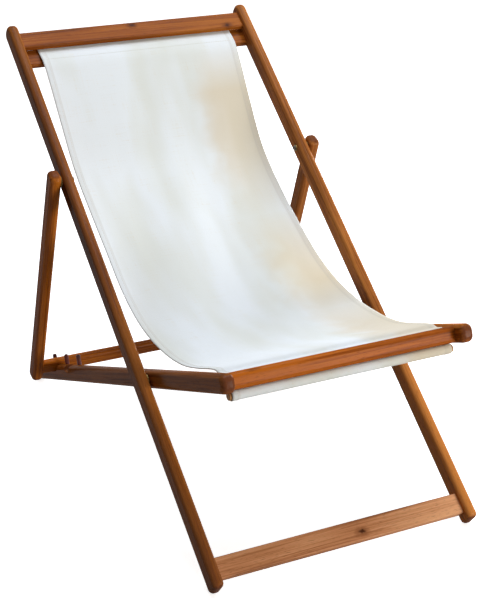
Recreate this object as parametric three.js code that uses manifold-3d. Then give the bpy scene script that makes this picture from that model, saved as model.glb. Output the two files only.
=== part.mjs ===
import * as THREE from "three";
import { mergeVertices } from "three/addons/utils/BufferGeometryUtils.js";
import Module from "manifold-3d";

// Folding deck chair with a canvas sling. Millimetres, X to the right, Y to the rear, Z up.

// Back frame boards
const backLegTopOverhang = 20;
const backLegWidth = 22;
const backLegDepth = 38;
const backLegTopRadius = 16;
const backLegFootRadius = 9;

// Seat frame boards, measured from the seat pivot
const railWidth = 26;
const railDepth = 34;
const railNoseOverhang = 32;
const railTailOverhang = 71;
const railNoseRadius = 13;
const railTailRadius = 10;

// Strut boards, measured from the strut pivot
const strutWidth = 23;
const strutDepth = 34;
const strutHeadReach = 21;
const strutTailOverhang = 27.5;
const strutEndRadius = 12;

// Spacing of the boards and rounding of their long edges
const backLegSpacing = 521;
const layerGap = 3;
const boardEdgeRadius = 7;

// Pivots along the back legs, from the foot
const seatPivotHeight = 412.5;
const strutPivotHeight = 865.2;

// Crossbars
const topSlatHeight = 40;
const topSlatThickness = 12;
const topFrontSlatAlong = 1210;
const topFrontSlatOffset = 3;
const topSlatOverlap = 5;
const topSlatStep = 14.5;
const footBoardAlong = 36;
const footBoardHeight = 40;
const footBoardThickness = 16;
const seatBarHeight = 30;
const seatBarThickness = 20;
const seatFrontBarReach = 305;
const seatBarSlot = 10;
const seatRearBarDrop = 3;
const propBarHeight = 30;
const propBarThickness = 20;
const propBarEdgeRadius = 8;
const propBarAlong = 501.5;
const slatEdgeRadius = 3;
const barEdgeRadius = 6;
const tenonLength = 12;
const tenonInset = 3;
const jointGap = 0.3;

// Notches and pegs on the seat rails
const notchAlong = 559;
const notchCentreHeight = 18.9;
const notchPitch = 82;
const notchPlay = 0.4;
const notchCount = 3;
const pegAheadOfNotch = 38;
const pegDiameter = 9;
const pegHeight = 22;
const pegSocketDepth = 16;
const pegInset = 6;
const pegTipRadius = 2;

// Pivot hardware
const boltDiameter = 8;
const boltHeadDiameter = 10;
const boltHeadHeight = 2.4;
const boltSocketWidth = 4;
const boltSocketDepth = 1.2;
const cupDiameter = 14;
const cupThickness = 1.6;
const spacerDiameter = 22;
const insertDiameter = 13;
const insertSkin = 6;
const pivotPlay = 0.4;

// Canvas sling and its dowels
const slingTopMargin = 30.5;
const slingWidthWave = 11.5;
const slingWaveLateness = 1.3;
const slingFrontMargin = 4;
const clothThickness = 1.2;
const clothGap = 0.5;
const dowelDiameter = 15;
const dowelOverhang = 5;
const foldHeight = 3;
const crossSag = 7;

// Sling line behind the lap, as along and sag shares of the distance from the seat pivot to the top slat
const backLineShares = [
  [0.975, 0.001],
  [0.920, -0.011],
  [0.800, -0.046],
  [0.668, -0.080],
  [0.518, -0.083],
  [0.385, -0.067],
  [0.278, -0.048],
  [0.167, -0.011],
  [0.089, 0.031],
];

// Sling line over the seat, as along and height shares of the reach of the front bar
const seatLineShares = [
  [-0.164, 0.144],
  [-0.282, 0.108],
  [-0.426, 0.079],
  [-0.590, 0.069],
  [-0.820, 0.062],
];

// Counts
const roundCount = 24;
const cornerCount = 4;
const edgeCount = 3;
const clothAcrossCount = 10;
const clothAlongCount = 24;
const pocketCount = 10;
const turnCount = 4;
const foldWaves = 2;
const pocketTurnShare = 0.83;

// Colours and finishes
const varnishedWood = { color: 0x8a4a22, roughness: 0.35, metalness: 0 };
const darkPeg = { color: 0x4a1c14, roughness: 0.45, metalness: 0 };
const paleDowel = { color: 0xb98c5a, roughness: 0.6, metalness: 0 };
const canvas = { color: 0xe6ebee, roughness: 0.9, metalness: 0 };
const brass = { color: 0xa8874a, roughness: 0.35, metalness: 1 };
const steel = { color: 0x6d6a66, roughness: 0.4, metalness: 1 };

const wasm = await Module();
wasm.setup();

const group = new THREE.Group();
group.name = "folding_deck_chair";

// Places and lengths that follow from the crossbars, notches and overhangs
const backLegLength = topFrontSlatAlong + topSlatHeight / 2 + backLegTopOverhang;
const topRearSlatAlong = topFrontSlatAlong - topSlatHeight + topSlatOverlap;
const topRearSlatOffset = topFrontSlatOffset - topSlatStep;
const seatRearBarReach = seatFrontBarReach - seatBarThickness - seatBarSlot;
const railNoseReach = seatFrontBarReach + railNoseOverhang;
const railTailReach = notchAlong + (notchPitch * (notchCount - 1)) / 2 + railTailOverhang;
const strutTailReach = propBarAlong + strutTailOverhang;

// Derived spacing
const backLegX = backLegSpacing / 2;
const railX = backLegX - (backLegWidth + railWidth) / 2 - layerGap;
const strutX = backLegX + (backLegWidth + strutWidth) / 2 + layerGap;

// Cloth widths inside the back legs and inside the seat rails
const slingTopWidth = 2 * backLegX - backLegWidth - 2 * slingTopMargin;
const slingFrontWidth = 2 * railX - railWidth - 2 * slingFrontMargin;

// Fold angle from the triangle of the seat pivot, the strut pivot and the prop bar in its notch
const pivotDistance = strutPivotHeight - seatPivotHeight;
const notchDistance = Math.hypot(notchAlong, notchCentreHeight);
const triangleShare =
  (pivotDistance ** 2 + notchDistance ** 2 - propBarAlong ** 2) / (2 * pivotDistance * notchDistance);
const foldAngle = Math.acos(triangleShare) + Math.atan2(notchCentreHeight, notchAlong);

// Lean of the back legs for which their feet and the tails of the rails stand on one floor
const footArm = seatPivotHeight - backLegFootRadius;
const footDrop = backLegDepth / 2 - backLegFootRadius;
const tailArm = railTailReach - railTailRadius;
const tailDrop = railDepth / 2 - railTailRadius;
const leanSine = footArm + tailArm * Math.cos(foldAngle) - tailDrop * Math.sin(foldAngle);
const leanCosine = footDrop - tailArm * Math.sin(foldAngle) - tailDrop * Math.cos(foldAngle);
const radiusDifference = railTailRadius - backLegFootRadius;
const backAngle =
  Math.asin(radiusDifference / Math.hypot(leanSine, leanCosine)) - Math.atan2(leanCosine, leanSine);
const railAngle = backAngle - foldAngle;
const seatPivotZ = footArm * Math.sin(backAngle) + footDrop * Math.cos(backAngle) + backLegFootRadius;

// Direction frames in the YZ plane
function lineFrame(originY, originZ, angle) {
  const cosine = Math.cos(angle);
  const sine = Math.sin(angle);
  return {
    originY,
    originZ,
    angle,
    at(along, off) {
      return { y: originY + along * cosine - off * sine, z: originZ + along * sine + off * cosine };
    },
  };
}

// Front to rear placing: half of the depth that the whole chair covers
const frontmostNose = railNoseReach - railNoseRadius;
const pivotToNose =
  frontmostNose * Math.cos(railAngle) + (railDepth / 2 - railNoseRadius) * Math.sin(-railAngle) + railNoseRadius;
const pivotToTail =
  tailArm * Math.cos(railAngle) + tailDrop * Math.sin(-railAngle) + railTailRadius;
const topArm = backLegLength - backLegTopRadius - seatPivotHeight;
const pivotToTop =
  topArm * Math.cos(backAngle) + (backLegDepth / 2 - backLegTopRadius) * Math.sin(backAngle) + backLegTopRadius;
const pivotToFoot =
  footArm * Math.cos(backAngle) + footDrop * Math.sin(backAngle) + backLegFootRadius;
const rearReach = Math.max(pivotToTop, pivotToTail);
const frontReach = Math.max(pivotToNose, pivotToFoot);
const seatPivotY = (frontReach - rearReach) / 2;

const backOrigin = lineFrame(seatPivotY, seatPivotZ, backAngle).at(-seatPivotHeight, 0);
const backLine = lineFrame(backOrigin.y, backOrigin.z, backAngle);
const railLine = lineFrame(seatPivotY, seatPivotZ, railAngle);
const strutPivot = backLine.at(strutPivotHeight, 0);
const propPoint = railLine.at(notchAlong, notchCentreHeight);
const strutAngle = Math.atan2(propPoint.z - strutPivot.z, propPoint.y - strutPivot.y);
const strutLine = lineFrame(strutPivot.y, strutPivot.z, strutAngle);

// Solids and booleans
function solidOf(geometry) {
  const bare = geometry.clone();
  bare.deleteAttribute("normal");
  bare.deleteAttribute("uv");
  const merged = mergeVertices(bare);
  const vertProperties = new Float32Array(merged.attributes.position.array);
  const triVerts = new Uint32Array(merged.index.array);
  return new wasm.Manifold(new wasm.Mesh({ numProp: 3, vertProperties, triVerts }));
}

function geometryOf(solid) {
  const mesh = solid.getMesh();
  const geometry = new THREE.BufferGeometry();
  geometry.setAttribute("position", new THREE.BufferAttribute(new Float32Array(mesh.vertProperties), 3));
  geometry.setIndex(new THREE.BufferAttribute(new Uint32Array(mesh.triVerts), 1));
  const flat = geometry.toNonIndexed();
  flat.computeVertexNormals();
  return flat;
}

function joined(base, additions) {
  return additions.reduce((solid, next) => solid.add(next), base);
}

function cut(base, removals) {
  return removals.reduce((solid, next) => solid.subtract(next), base);
}

function addPiece(name, geometry, finish) {
  const mesh = new THREE.Mesh(geometry, new THREE.MeshStandardMaterial(finish));
  mesh.name = name;
  group.add(mesh);
}

function roundedOutline(left, right, low, high, leftRadius, rightRadius) {
  const shape = new THREE.Shape();
  shape.moveTo(left + leftRadius, low);
  shape.lineTo(right - rightRadius, low);
  shape.absarc(right - rightRadius, low + rightRadius, rightRadius, -Math.PI / 2, 0, false);
  shape.lineTo(right, high - rightRadius);
  shape.absarc(right - rightRadius, high - rightRadius, rightRadius, 0, Math.PI / 2, false);
  shape.lineTo(left + leftRadius, high);
  shape.absarc(left + leftRadius, high - leftRadius, leftRadius, Math.PI / 2, Math.PI, false);
  shape.lineTo(left, low + leftRadius);
  shape.absarc(left + leftRadius, low + leftRadius, leftRadius, Math.PI, Math.PI * 1.5, false);
  shape.closePath();
  return shape;
}

// A geometry drawn along, off and across a line is put on that line, with its middle at the given X
function placed(geometry, line, centreX) {
  const turn = new THREE.Matrix4().makeBasis(
    new THREE.Vector3(0, Math.cos(line.angle), Math.sin(line.angle)),
    new THREE.Vector3(0, -Math.sin(line.angle), Math.cos(line.angle)),
    new THREE.Vector3(1, 0, 0),
  );
  turn.setPosition(centreX, line.originY, line.originZ);
  return geometry.clone().applyMatrix4(turn);
}

// Board seen from the side, its long edges rounded by the bevel
function board(from, to, depth, width, fromRadius, toRadius) {
  const edge = boardEdgeRadius;
  const half = depth / 2;
  const shape = roundedOutline(
    from + edge, to - edge, edge - half, half - edge, fromRadius - edge, toRadius - edge,
  );
  const geometry = new THREE.ExtrudeGeometry(shape, {
    depth: width - edge * 2,
    steps: 1,
    curveSegments: cornerCount,
    bevelEnabled: true,
    bevelThickness: edge,
    bevelSize: edge,
    bevelSegments: edgeCount,
  });
  geometry.translate(0, 0, edge - width / 2);
  return geometry;
}

function cylinderAcross(line, along, off, radius, fromX, toX) {
  const geometry = new THREE.CylinderGeometry(radius, radius, toX - fromX, roundCount);
  geometry.rotateX(Math.PI / 2);
  geometry.translate(along, off, 0);
  return placed(geometry, line, (fromX + toX) / 2);
}

// Crossbar: rounded section across the chair, with a tenon at each end
function crossbarParts(line, along, off, height, thickness, edge, reachX) {
  const shoulder = reachX - jointGap;
  const body = new THREE.ExtrudeGeometry(
    roundedOutline(
      along - height / 2, along + height / 2, off - thickness / 2, off + thickness / 2, edge, edge,
    ),
    { depth: shoulder * 2, steps: 1, curveSegments: cornerCount, bevelEnabled: false },
  );
  body.translate(0, 0, -shoulder);
  const tenonHeight = height - tenonInset * 4;
  const tenonThickness = thickness - tenonInset * 2;
  const tenonReach = reachX + tenonLength;
  const tenon = new THREE.BoxGeometry(tenonHeight, tenonThickness, tenonReach * 2);
  tenon.translate(along, off, 0);
  const mortise = new THREE.BoxGeometry(
    tenonHeight + jointGap * 2, tenonThickness + jointGap * 2, (tenonReach + jointGap) * 2,
  );
  mortise.translate(along, off, 0);
  return {
    bar: joined(solidOf(placed(body, line, 0)), [solidOf(placed(tenon, line, 0))]),
    mortise: solidOf(placed(mortise, line, 0)),
  };
}

const topFront = crossbarParts(
  backLine, topFrontSlatAlong, topFrontSlatOffset, topSlatHeight, topSlatThickness,
  slatEdgeRadius, backLegX - backLegWidth / 2,
);
const topRear = crossbarParts(
  backLine, topRearSlatAlong, topRearSlatOffset, topSlatHeight, topSlatThickness,
  slatEdgeRadius, backLegX - backLegWidth / 2,
);
const footBoard = crossbarParts(
  backLine, footBoardAlong, 0, footBoardHeight, footBoardThickness,
  slatEdgeRadius, backLegX - backLegWidth / 2,
);
const seatBarLine = lineFrame(railLine.originY, railLine.originZ, railAngle + Math.PI / 2);
const seatFront = crossbarParts(
  seatBarLine, 0, seatFrontBarReach, seatBarHeight, seatBarThickness,
  barEdgeRadius, railX - railWidth / 2,
);
const seatRear = crossbarParts(
  seatBarLine, -seatRearBarDrop, seatRearBarReach, seatBarHeight, seatBarThickness,
  barEdgeRadius, railX - railWidth / 2,
);
const prop = crossbarParts(
  strutLine, propBarAlong, 0, propBarHeight, propBarThickness,
  propBarEdgeRadius, strutX - strutWidth / 2,
);

addPiece("top_front_slat", geometryOf(topFront.bar), varnishedWood);
addPiece("top_rear_slat", geometryOf(topRear.bar), varnishedWood);
addPiece("foot_board", geometryOf(footBoard.bar), varnishedWood);
addPiece("seat_front_bar", geometryOf(seatFront.bar), varnishedWood);
addPiece("seat_rear_bar", geometryOf(seatRear.bar), varnishedWood);
addPiece("prop_bar", geometryOf(prop.bar), varnishedWood);

// Notch as wide as the prop bar's corners reach
const propCornerReach =
  Math.hypot(propBarHeight / 2 - propBarEdgeRadius, propBarThickness / 2 - propBarEdgeRadius)
  + propBarEdgeRadius;
const notchRadius = propCornerReach + notchPlay;
const notchPlaces = Array.from(
  { length: notchCount }, (_, index) => notchAlong + notchPitch * (index - (notchCount - 1) / 2),
);

// Turned pin along a line's off direction, its profile given as radius and height pairs
function turned(profile) {
  const points = profile.map(([radius, height]) => new THREE.Vector2(radius, height));
  return new THREE.LatheGeometry(points, roundCount);
}

function pegGeometry(side, along) {
  const radius = pegDiameter / 2;
  const base = railDepth / 2 - pegSocketDepth;
  const tip = railDepth / 2 + pegHeight;
  const peg = turned([
    [0, base],
    [radius, base],
    [radius, tip - pegTipRadius],
    [radius - pegTipRadius, tip],
    [0, tip],
  ]);
  peg.translate(along, 0, 0);
  return placed(peg, railLine, side * (railX - pegInset));
}

function pegSocket(side, along) {
  const radius = pegDiameter / 2 + jointGap;
  const floor = railDepth / 2 - pegSocketDepth - jointGap;
  const top = railDepth;
  const socket = new THREE.CylinderGeometry(radius, radius, top - floor, roundCount);
  socket.translate(along, (top + floor) / 2, 0);
  return solidOf(placed(socket, railLine, side * (railX - pegInset)));
}

function addPivot(name, side, line, along, innerX, gapX, outerWidth) {
  // Everything is drawn for the right side, outwards along X, and mirrored by the side for the left
  const span = (from, to) => (side > 0 ? [from, to] : [-to, -from]);
  const disc = (radius, from, to) => cylinderAcross(line, along, 0, radius, ...span(from, to));
  const insertEnd = gapX + layerGap + outerWidth - insertSkin;
  const boltEnd = insertEnd - jointGap * 2;
  const cupFrom = innerX - cupThickness - jointGap;
  const headFrom = cupFrom - boltHeadHeight - jointGap;
  const head = solidOf(disc(boltHeadDiameter / 2, headFrom, cupFrom - jointGap));
  const shank = solidOf(disc(boltDiameter / 2, headFrom + boltHeadHeight / 2, boltEnd));
  const socket = new THREE.CylinderGeometry(
    boltSocketWidth / 2, boltSocketWidth / 2, boltSocketDepth * 2, 6,
  );
  socket.rotateX(Math.PI / 2);
  socket.translate(along, 0, 0);
  const socketCut = solidOf(placed(socket, line, side * headFrom));
  addPiece(`${name}_bolt`, geometryOf(cut(joined(head, [shank]), [socketCut])), steel);

  const bore = boltDiameter / 2 + pivotPlay;
  const ring = (outer, from, to) => cut(
    solidOf(disc(outer, from, to)),
    [solidOf(disc(bore, from - layerGap, to + layerGap))],
  );
  addPiece(
    `${name}_cup`, geometryOf(ring(cupDiameter / 2, cupFrom, innerX - jointGap)), brass,
  );
  addPiece(
    `${name}_spacer`,
    geometryOf(ring(spacerDiameter / 2, gapX + jointGap, gapX + layerGap - jointGap)),
    brass,
  );
  const insertFrom = gapX + layerGap + jointGap;
  addPiece(
    `${name}_insert`, geometryOf(ring(insertDiameter / 2, insertFrom, insertEnd)), brass,
  );
  return {
    through: solidOf(disc(bore, innerX - layerGap, gapX + layerGap / 2)),
    pocket: solidOf(
      disc(insertDiameter / 2 + jointGap, gapX + layerGap / 2, insertEnd + jointGap),
    ),
  };
}

function addSide(prefix, side) {
  const seatPivotCut = addPivot(
    `${prefix}_seat_pivot`, side, backLine, seatPivotHeight,
    railX - railWidth / 2, railX + railWidth / 2, backLegWidth,
  );
  const strutPivotCut = addPivot(
    `${prefix}_strut_pivot`, side, backLine, strutPivotHeight,
    backLegX - backLegWidth / 2, backLegX + backLegWidth / 2, strutWidth,
  );

  const leg = board(0, backLegLength, backLegDepth, backLegWidth, backLegFootRadius, backLegTopRadius);
  const legCuts = [
    topFront.mortise, topRear.mortise, footBoard.mortise, seatPivotCut.pocket, strutPivotCut.through,
  ];
  addPiece(
    `${prefix}_back_leg`,
    geometryOf(cut(solidOf(placed(leg, backLine, side * backLegX)), legCuts)),
    varnishedWood,
  );

  const rail = board(
    -railNoseReach, railTailReach, railDepth, railWidth, railNoseRadius, railTailRadius,
  );
  const notches = notchPlaces.map((along) => {
    const halfWidth = railWidth / 2 + layerGap;
    const centre = side * railX;
    const from = centre - halfWidth;
    const to = centre + halfWidth;
    return solidOf(cylinderAcross(railLine, along, notchCentreHeight, notchRadius, from, to));
  });
  const pegPlaces = notchPlaces.map((along) => along - pegAheadOfNotch);
  const sockets = pegPlaces.map((along) => pegSocket(side, along));
  const railCuts = [seatFront.mortise, seatRear.mortise, seatPivotCut.through, ...notches, ...sockets];
  addPiece(
    `${prefix}_seat_rail`,
    geometryOf(cut(solidOf(placed(rail, railLine, side * railX)), railCuts)),
    varnishedWood,
  );
  const pegNames = ["front", "middle", "rear"];
  pegPlaces.forEach((along, index) => {
    addPiece(`${prefix}_${pegNames[index]}_peg`, pegGeometry(side, along), darkPeg);
  });

  const strut = board(
    -strutHeadReach, strutTailReach, strutDepth, strutWidth, strutEndRadius, strutEndRadius,
  );
  addPiece(
    `${prefix}_strut`,
    geometryOf(
      cut(solidOf(placed(strut, strutLine, side * strutX)), [prop.mortise, strutPivotCut.pocket]),
    ),
    varnishedWood,
  );
}

addSide("left", -1);
addSide("right", 1);

// Dowels in the sling's pockets: one behind the top slats, one under the seat's front bar
const clothHalf = clothThickness / 2;
const clothReach = clothGap + clothHalf;
const pocketRadius = dowelDiameter / 2 + clothReach;
const topDowelAlong = topRearSlatAlong + topSlatHeight / 2 + clothReach + pocketRadius;
const topDowelOff = topFrontSlatOffset - topSlatThickness / 2 - clothReach - pocketRadius;
const slotAlong = -(seatRearBarReach + seatBarThickness / 2 + clothReach);
const frontDowelAlong = slotAlong - pocketRadius;
const frontDowelOff = -seatBarHeight / 2 - clothReach - pocketRadius;
const topDowel = backLine.at(topDowelAlong, topDowelOff);
const frontDowel = railLine.at(frontDowelAlong, frontDowelOff);

function addDowel(name, centre, clothWidth) {
  const line = lineFrame(centre.y, centre.z, 0);
  const reach = clothWidth / 2 + dowelOverhang;
  addPiece(name, cylinderAcross(line, 0, 0, dowelDiameter / 2, -reach, reach), paleDowel);
}

addDowel("top_sling_dowel", topDowel, slingTopWidth);
addDowel("front_sling_dowel", frontDowel, slingFrontWidth);

// Middle line of the cloth in the YZ plane: round the top dowel, over the lap, round the front dowel
function arcPoints(centre, radius, fromAngle, toAngle, count) {
  return Array.from({ length: count + 1 }, (_, index) => {
    const angle = fromAngle + ((toAngle - fromAngle) * index) / count;
    return { y: centre.y + radius * Math.cos(angle), z: centre.z + radius * Math.sin(angle) };
  });
}

const backSpan = topRearSlatAlong - seatPivotHeight;
const slatTurnRadius = slatEdgeRadius + clothReach;
const slatTurnAlong = topRearSlatAlong + topSlatHeight / 2 - slatEdgeRadius;
const slatTurnOff = topRearSlatOffset + topSlatThickness / 2 - slatEdgeRadius;
const barTurnRadius = barEdgeRadius + clothReach;
const barTurnAlong = -(seatRearBarReach + seatBarThickness / 2 - barEdgeRadius);
const barTurnOff = seatBarHeight / 2 - seatRearBarDrop - barEdgeRadius;
const pocketTurn = Math.PI * 2 * pocketTurnShare;

const topLoop = arcPoints(
  topDowel, pocketRadius, backAngle + Math.PI + pocketTurn, backAngle + Math.PI, pocketCount,
);
const slatTurn = arcPoints(
  backLine.at(slatTurnAlong, slatTurnOff), slatTurnRadius, backAngle, backAngle + Math.PI / 2,
  turnCount,
);
const barTurn = arcPoints(
  railLine.at(barTurnAlong, barTurnOff), barTurnRadius, railAngle + Math.PI / 2,
  railAngle + Math.PI, turnCount,
);
const frontLoop = arcPoints(
  frontDowel, pocketRadius, railAngle, railAngle - pocketTurn, pocketCount,
);

const hangingPoints = [
  slatTurn[slatTurn.length - 1],
  ...backLineShares.map(([along, sag]) => backLine.at(
    seatPivotHeight + along * backSpan, sag * backSpan,
  )),
  ...seatLineShares.map(([along, rise]) => railLine.at(
    along * seatFrontBarReach, rise * seatFrontBarReach,
  )),
  railLine.at(-seatRearBarReach + seatBarThickness / 2, barTurnOff + barTurnRadius),
  barTurn[0],
].map(({ y, z }) => new THREE.Vector3(0, y, z));
const hangingCurve = new THREE.CatmullRomCurve3(hangingPoints, false, "centripetal");
const hanging = hangingCurve.getSpacedPoints(clothAlongCount).map((point, index) => ({
  y: point.y,
  z: point.z,
  freeShare: index / clothAlongCount,
}));
const clothLine = [
  ...topLoop,
  ...slatTurn.slice(0, -1),
  ...hanging,
  ...barTurn.slice(1),
  ...frontLoop,
];

// Cloth as one closed skin: two faces half a thickness from the middle line, joined round the border
function clothNormal(index) {
  const before = clothLine[Math.max(index - 1, 0)];
  const after = clothLine[Math.min(index + 1, clothLine.length - 1)];
  const length = Math.hypot(after.y - before.y, after.z - before.z);
  return { y: (before.z - after.z) / length, z: (after.y - before.y) / length };
}

function clothPoint(row, column, side) {
  const { y, z, freeShare } = clothLine[row];
  const normal = clothNormal(row);
  const pastMiddle = row * 2 > clothLine.length;
  const share = freeShare ?? (pastMiddle ? 1 : 0);
  const hang = Math.sin(Math.PI * share);
  // The cloth is drawn in over the back and spread over the lap
  const evenWidth = slingTopWidth + (slingFrontWidth - slingTopWidth) * share;
  const width = evenWidth - slingWidthWave * Math.sin(Math.PI * 2 * share ** slingWaveLateness);
  const across = (column / clothAcrossCount) * 2 - 1;
  const sag = crossSag * hang ** 3 * (1 - across ** 2);
  const fold = foldHeight * hang ** 3 * Math.sin(Math.PI * foldWaves * (across + share * 2));
  const off = side * clothHalf + sag + fold;
  return [across * width / 2, y + normal.y * off, z + normal.z * off];
}

function clothGeometry() {
  const rows = clothLine.length;
  const columns = clothAcrossCount + 1;
  const positions = [];
  for (const side of [-1, 1]) {
    for (let row = 0; row < rows; row += 1) {
      for (let column = 0; column < columns; column += 1) {
        positions.push(...clothPoint(row, column, side));
      }
    }
  }
  const at = (layer, row, column) => (layer * rows + row) * columns + column;
  const faces = [];
  const quad = (a, b, c, d) => faces.push(a, c, b, a, d, c);
  for (let row = 0; row < rows - 1; row += 1) {
    for (let column = 0; column < columns - 1; column += 1) {
      quad(at(0, row, column), at(0, row, column + 1), at(0, row + 1, column + 1), at(0, row + 1, column));
      quad(at(1, row, column), at(1, row + 1, column), at(1, row + 1, column + 1), at(1, row, column + 1));
    }
    const last = columns - 1;
    quad(at(0, row, 0), at(0, row + 1, 0), at(1, row + 1, 0), at(1, row, 0));
    quad(at(0, row, last), at(1, row, last), at(1, row + 1, last), at(0, row + 1, last));
  }
  for (let column = 0; column < columns - 1; column += 1) {
    const last = rows - 1;
    quad(at(0, 0, column), at(1, 0, column), at(1, 0, column + 1), at(0, 0, column + 1));
    quad(at(0, last, column), at(0, last, column + 1), at(1, last, column + 1), at(1, last, column));
  }
  const geometry = new THREE.BufferGeometry();
  geometry.setAttribute("position", new THREE.Float32BufferAttribute(positions, 3));
  geometry.setIndex(faces);
  const flat = geometry.toNonIndexed();
  flat.computeVertexNormals();
  return flat;
}

addPiece("canvas_sling", clothGeometry(), canvas);

export default group;
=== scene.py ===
"""Folding canvas deck chair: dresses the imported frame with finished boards, turned parts and a sewn sling."""

import logging
import math
from dataclasses import dataclass, field
from enum import Enum
from typing import Callable, Iterable, Sequence

import bmesh
import bpy
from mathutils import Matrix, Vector, noise


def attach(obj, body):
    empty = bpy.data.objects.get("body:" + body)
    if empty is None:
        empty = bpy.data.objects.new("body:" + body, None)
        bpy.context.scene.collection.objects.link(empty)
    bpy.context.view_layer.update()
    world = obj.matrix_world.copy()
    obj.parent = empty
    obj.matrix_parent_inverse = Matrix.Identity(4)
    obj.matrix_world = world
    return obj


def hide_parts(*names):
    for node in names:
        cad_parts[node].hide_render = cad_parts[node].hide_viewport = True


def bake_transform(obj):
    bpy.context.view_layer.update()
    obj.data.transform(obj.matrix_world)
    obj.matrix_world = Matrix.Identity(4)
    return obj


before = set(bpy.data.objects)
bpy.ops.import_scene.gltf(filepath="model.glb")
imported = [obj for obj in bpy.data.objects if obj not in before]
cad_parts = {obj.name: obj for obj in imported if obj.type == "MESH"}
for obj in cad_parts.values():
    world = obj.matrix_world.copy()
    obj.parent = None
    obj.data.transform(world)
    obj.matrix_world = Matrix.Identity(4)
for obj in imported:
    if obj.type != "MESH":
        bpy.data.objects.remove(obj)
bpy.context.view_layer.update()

Node = bpy.types.Node
Socket = bpy.types.NodeSocket
Tree = bpy.types.NodeTree
Material = bpy.types.Material
Thing = bpy.types.Object
Pair = tuple[float, float]
Triple = tuple[float, float, float]
Colour = tuple[float, float, float, float]

log = logging.getLogger("deck_chair")
MM = 0.001
PHOTO_HEIGHT = 599
SIDES = ("left", "right")


# Places in the side plane


@dataclass(frozen=True)
class Line:
    """A line in the chair's side plane. Millimetres along it and off it give a place in the chair."""

    origin_y: float
    origin_z: float
    angle: float

    def at(self, along: float, off: float = 0.0) -> Pair:
        """Place of a point in the side plane.

        Args:
            along: Distance along the line from its origin, in millimetres.
            off: Distance off the line, a quarter turn anticlockwise from its direction.

        Returns:
            The point's Y and Z in millimetres.
        """
        cosine, sine = math.cos(self.angle), math.sin(self.angle)
        return self.origin_y + along * cosine - off * sine, self.origin_z + along * sine + off * cosine

    def point(self, x: float, along: float, off: float = 0.0) -> Vector:
        """Place of a point in the chair, in metres."""
        y, z = self.at(along, off)
        return Vector((x, y, z)) * MM


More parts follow.
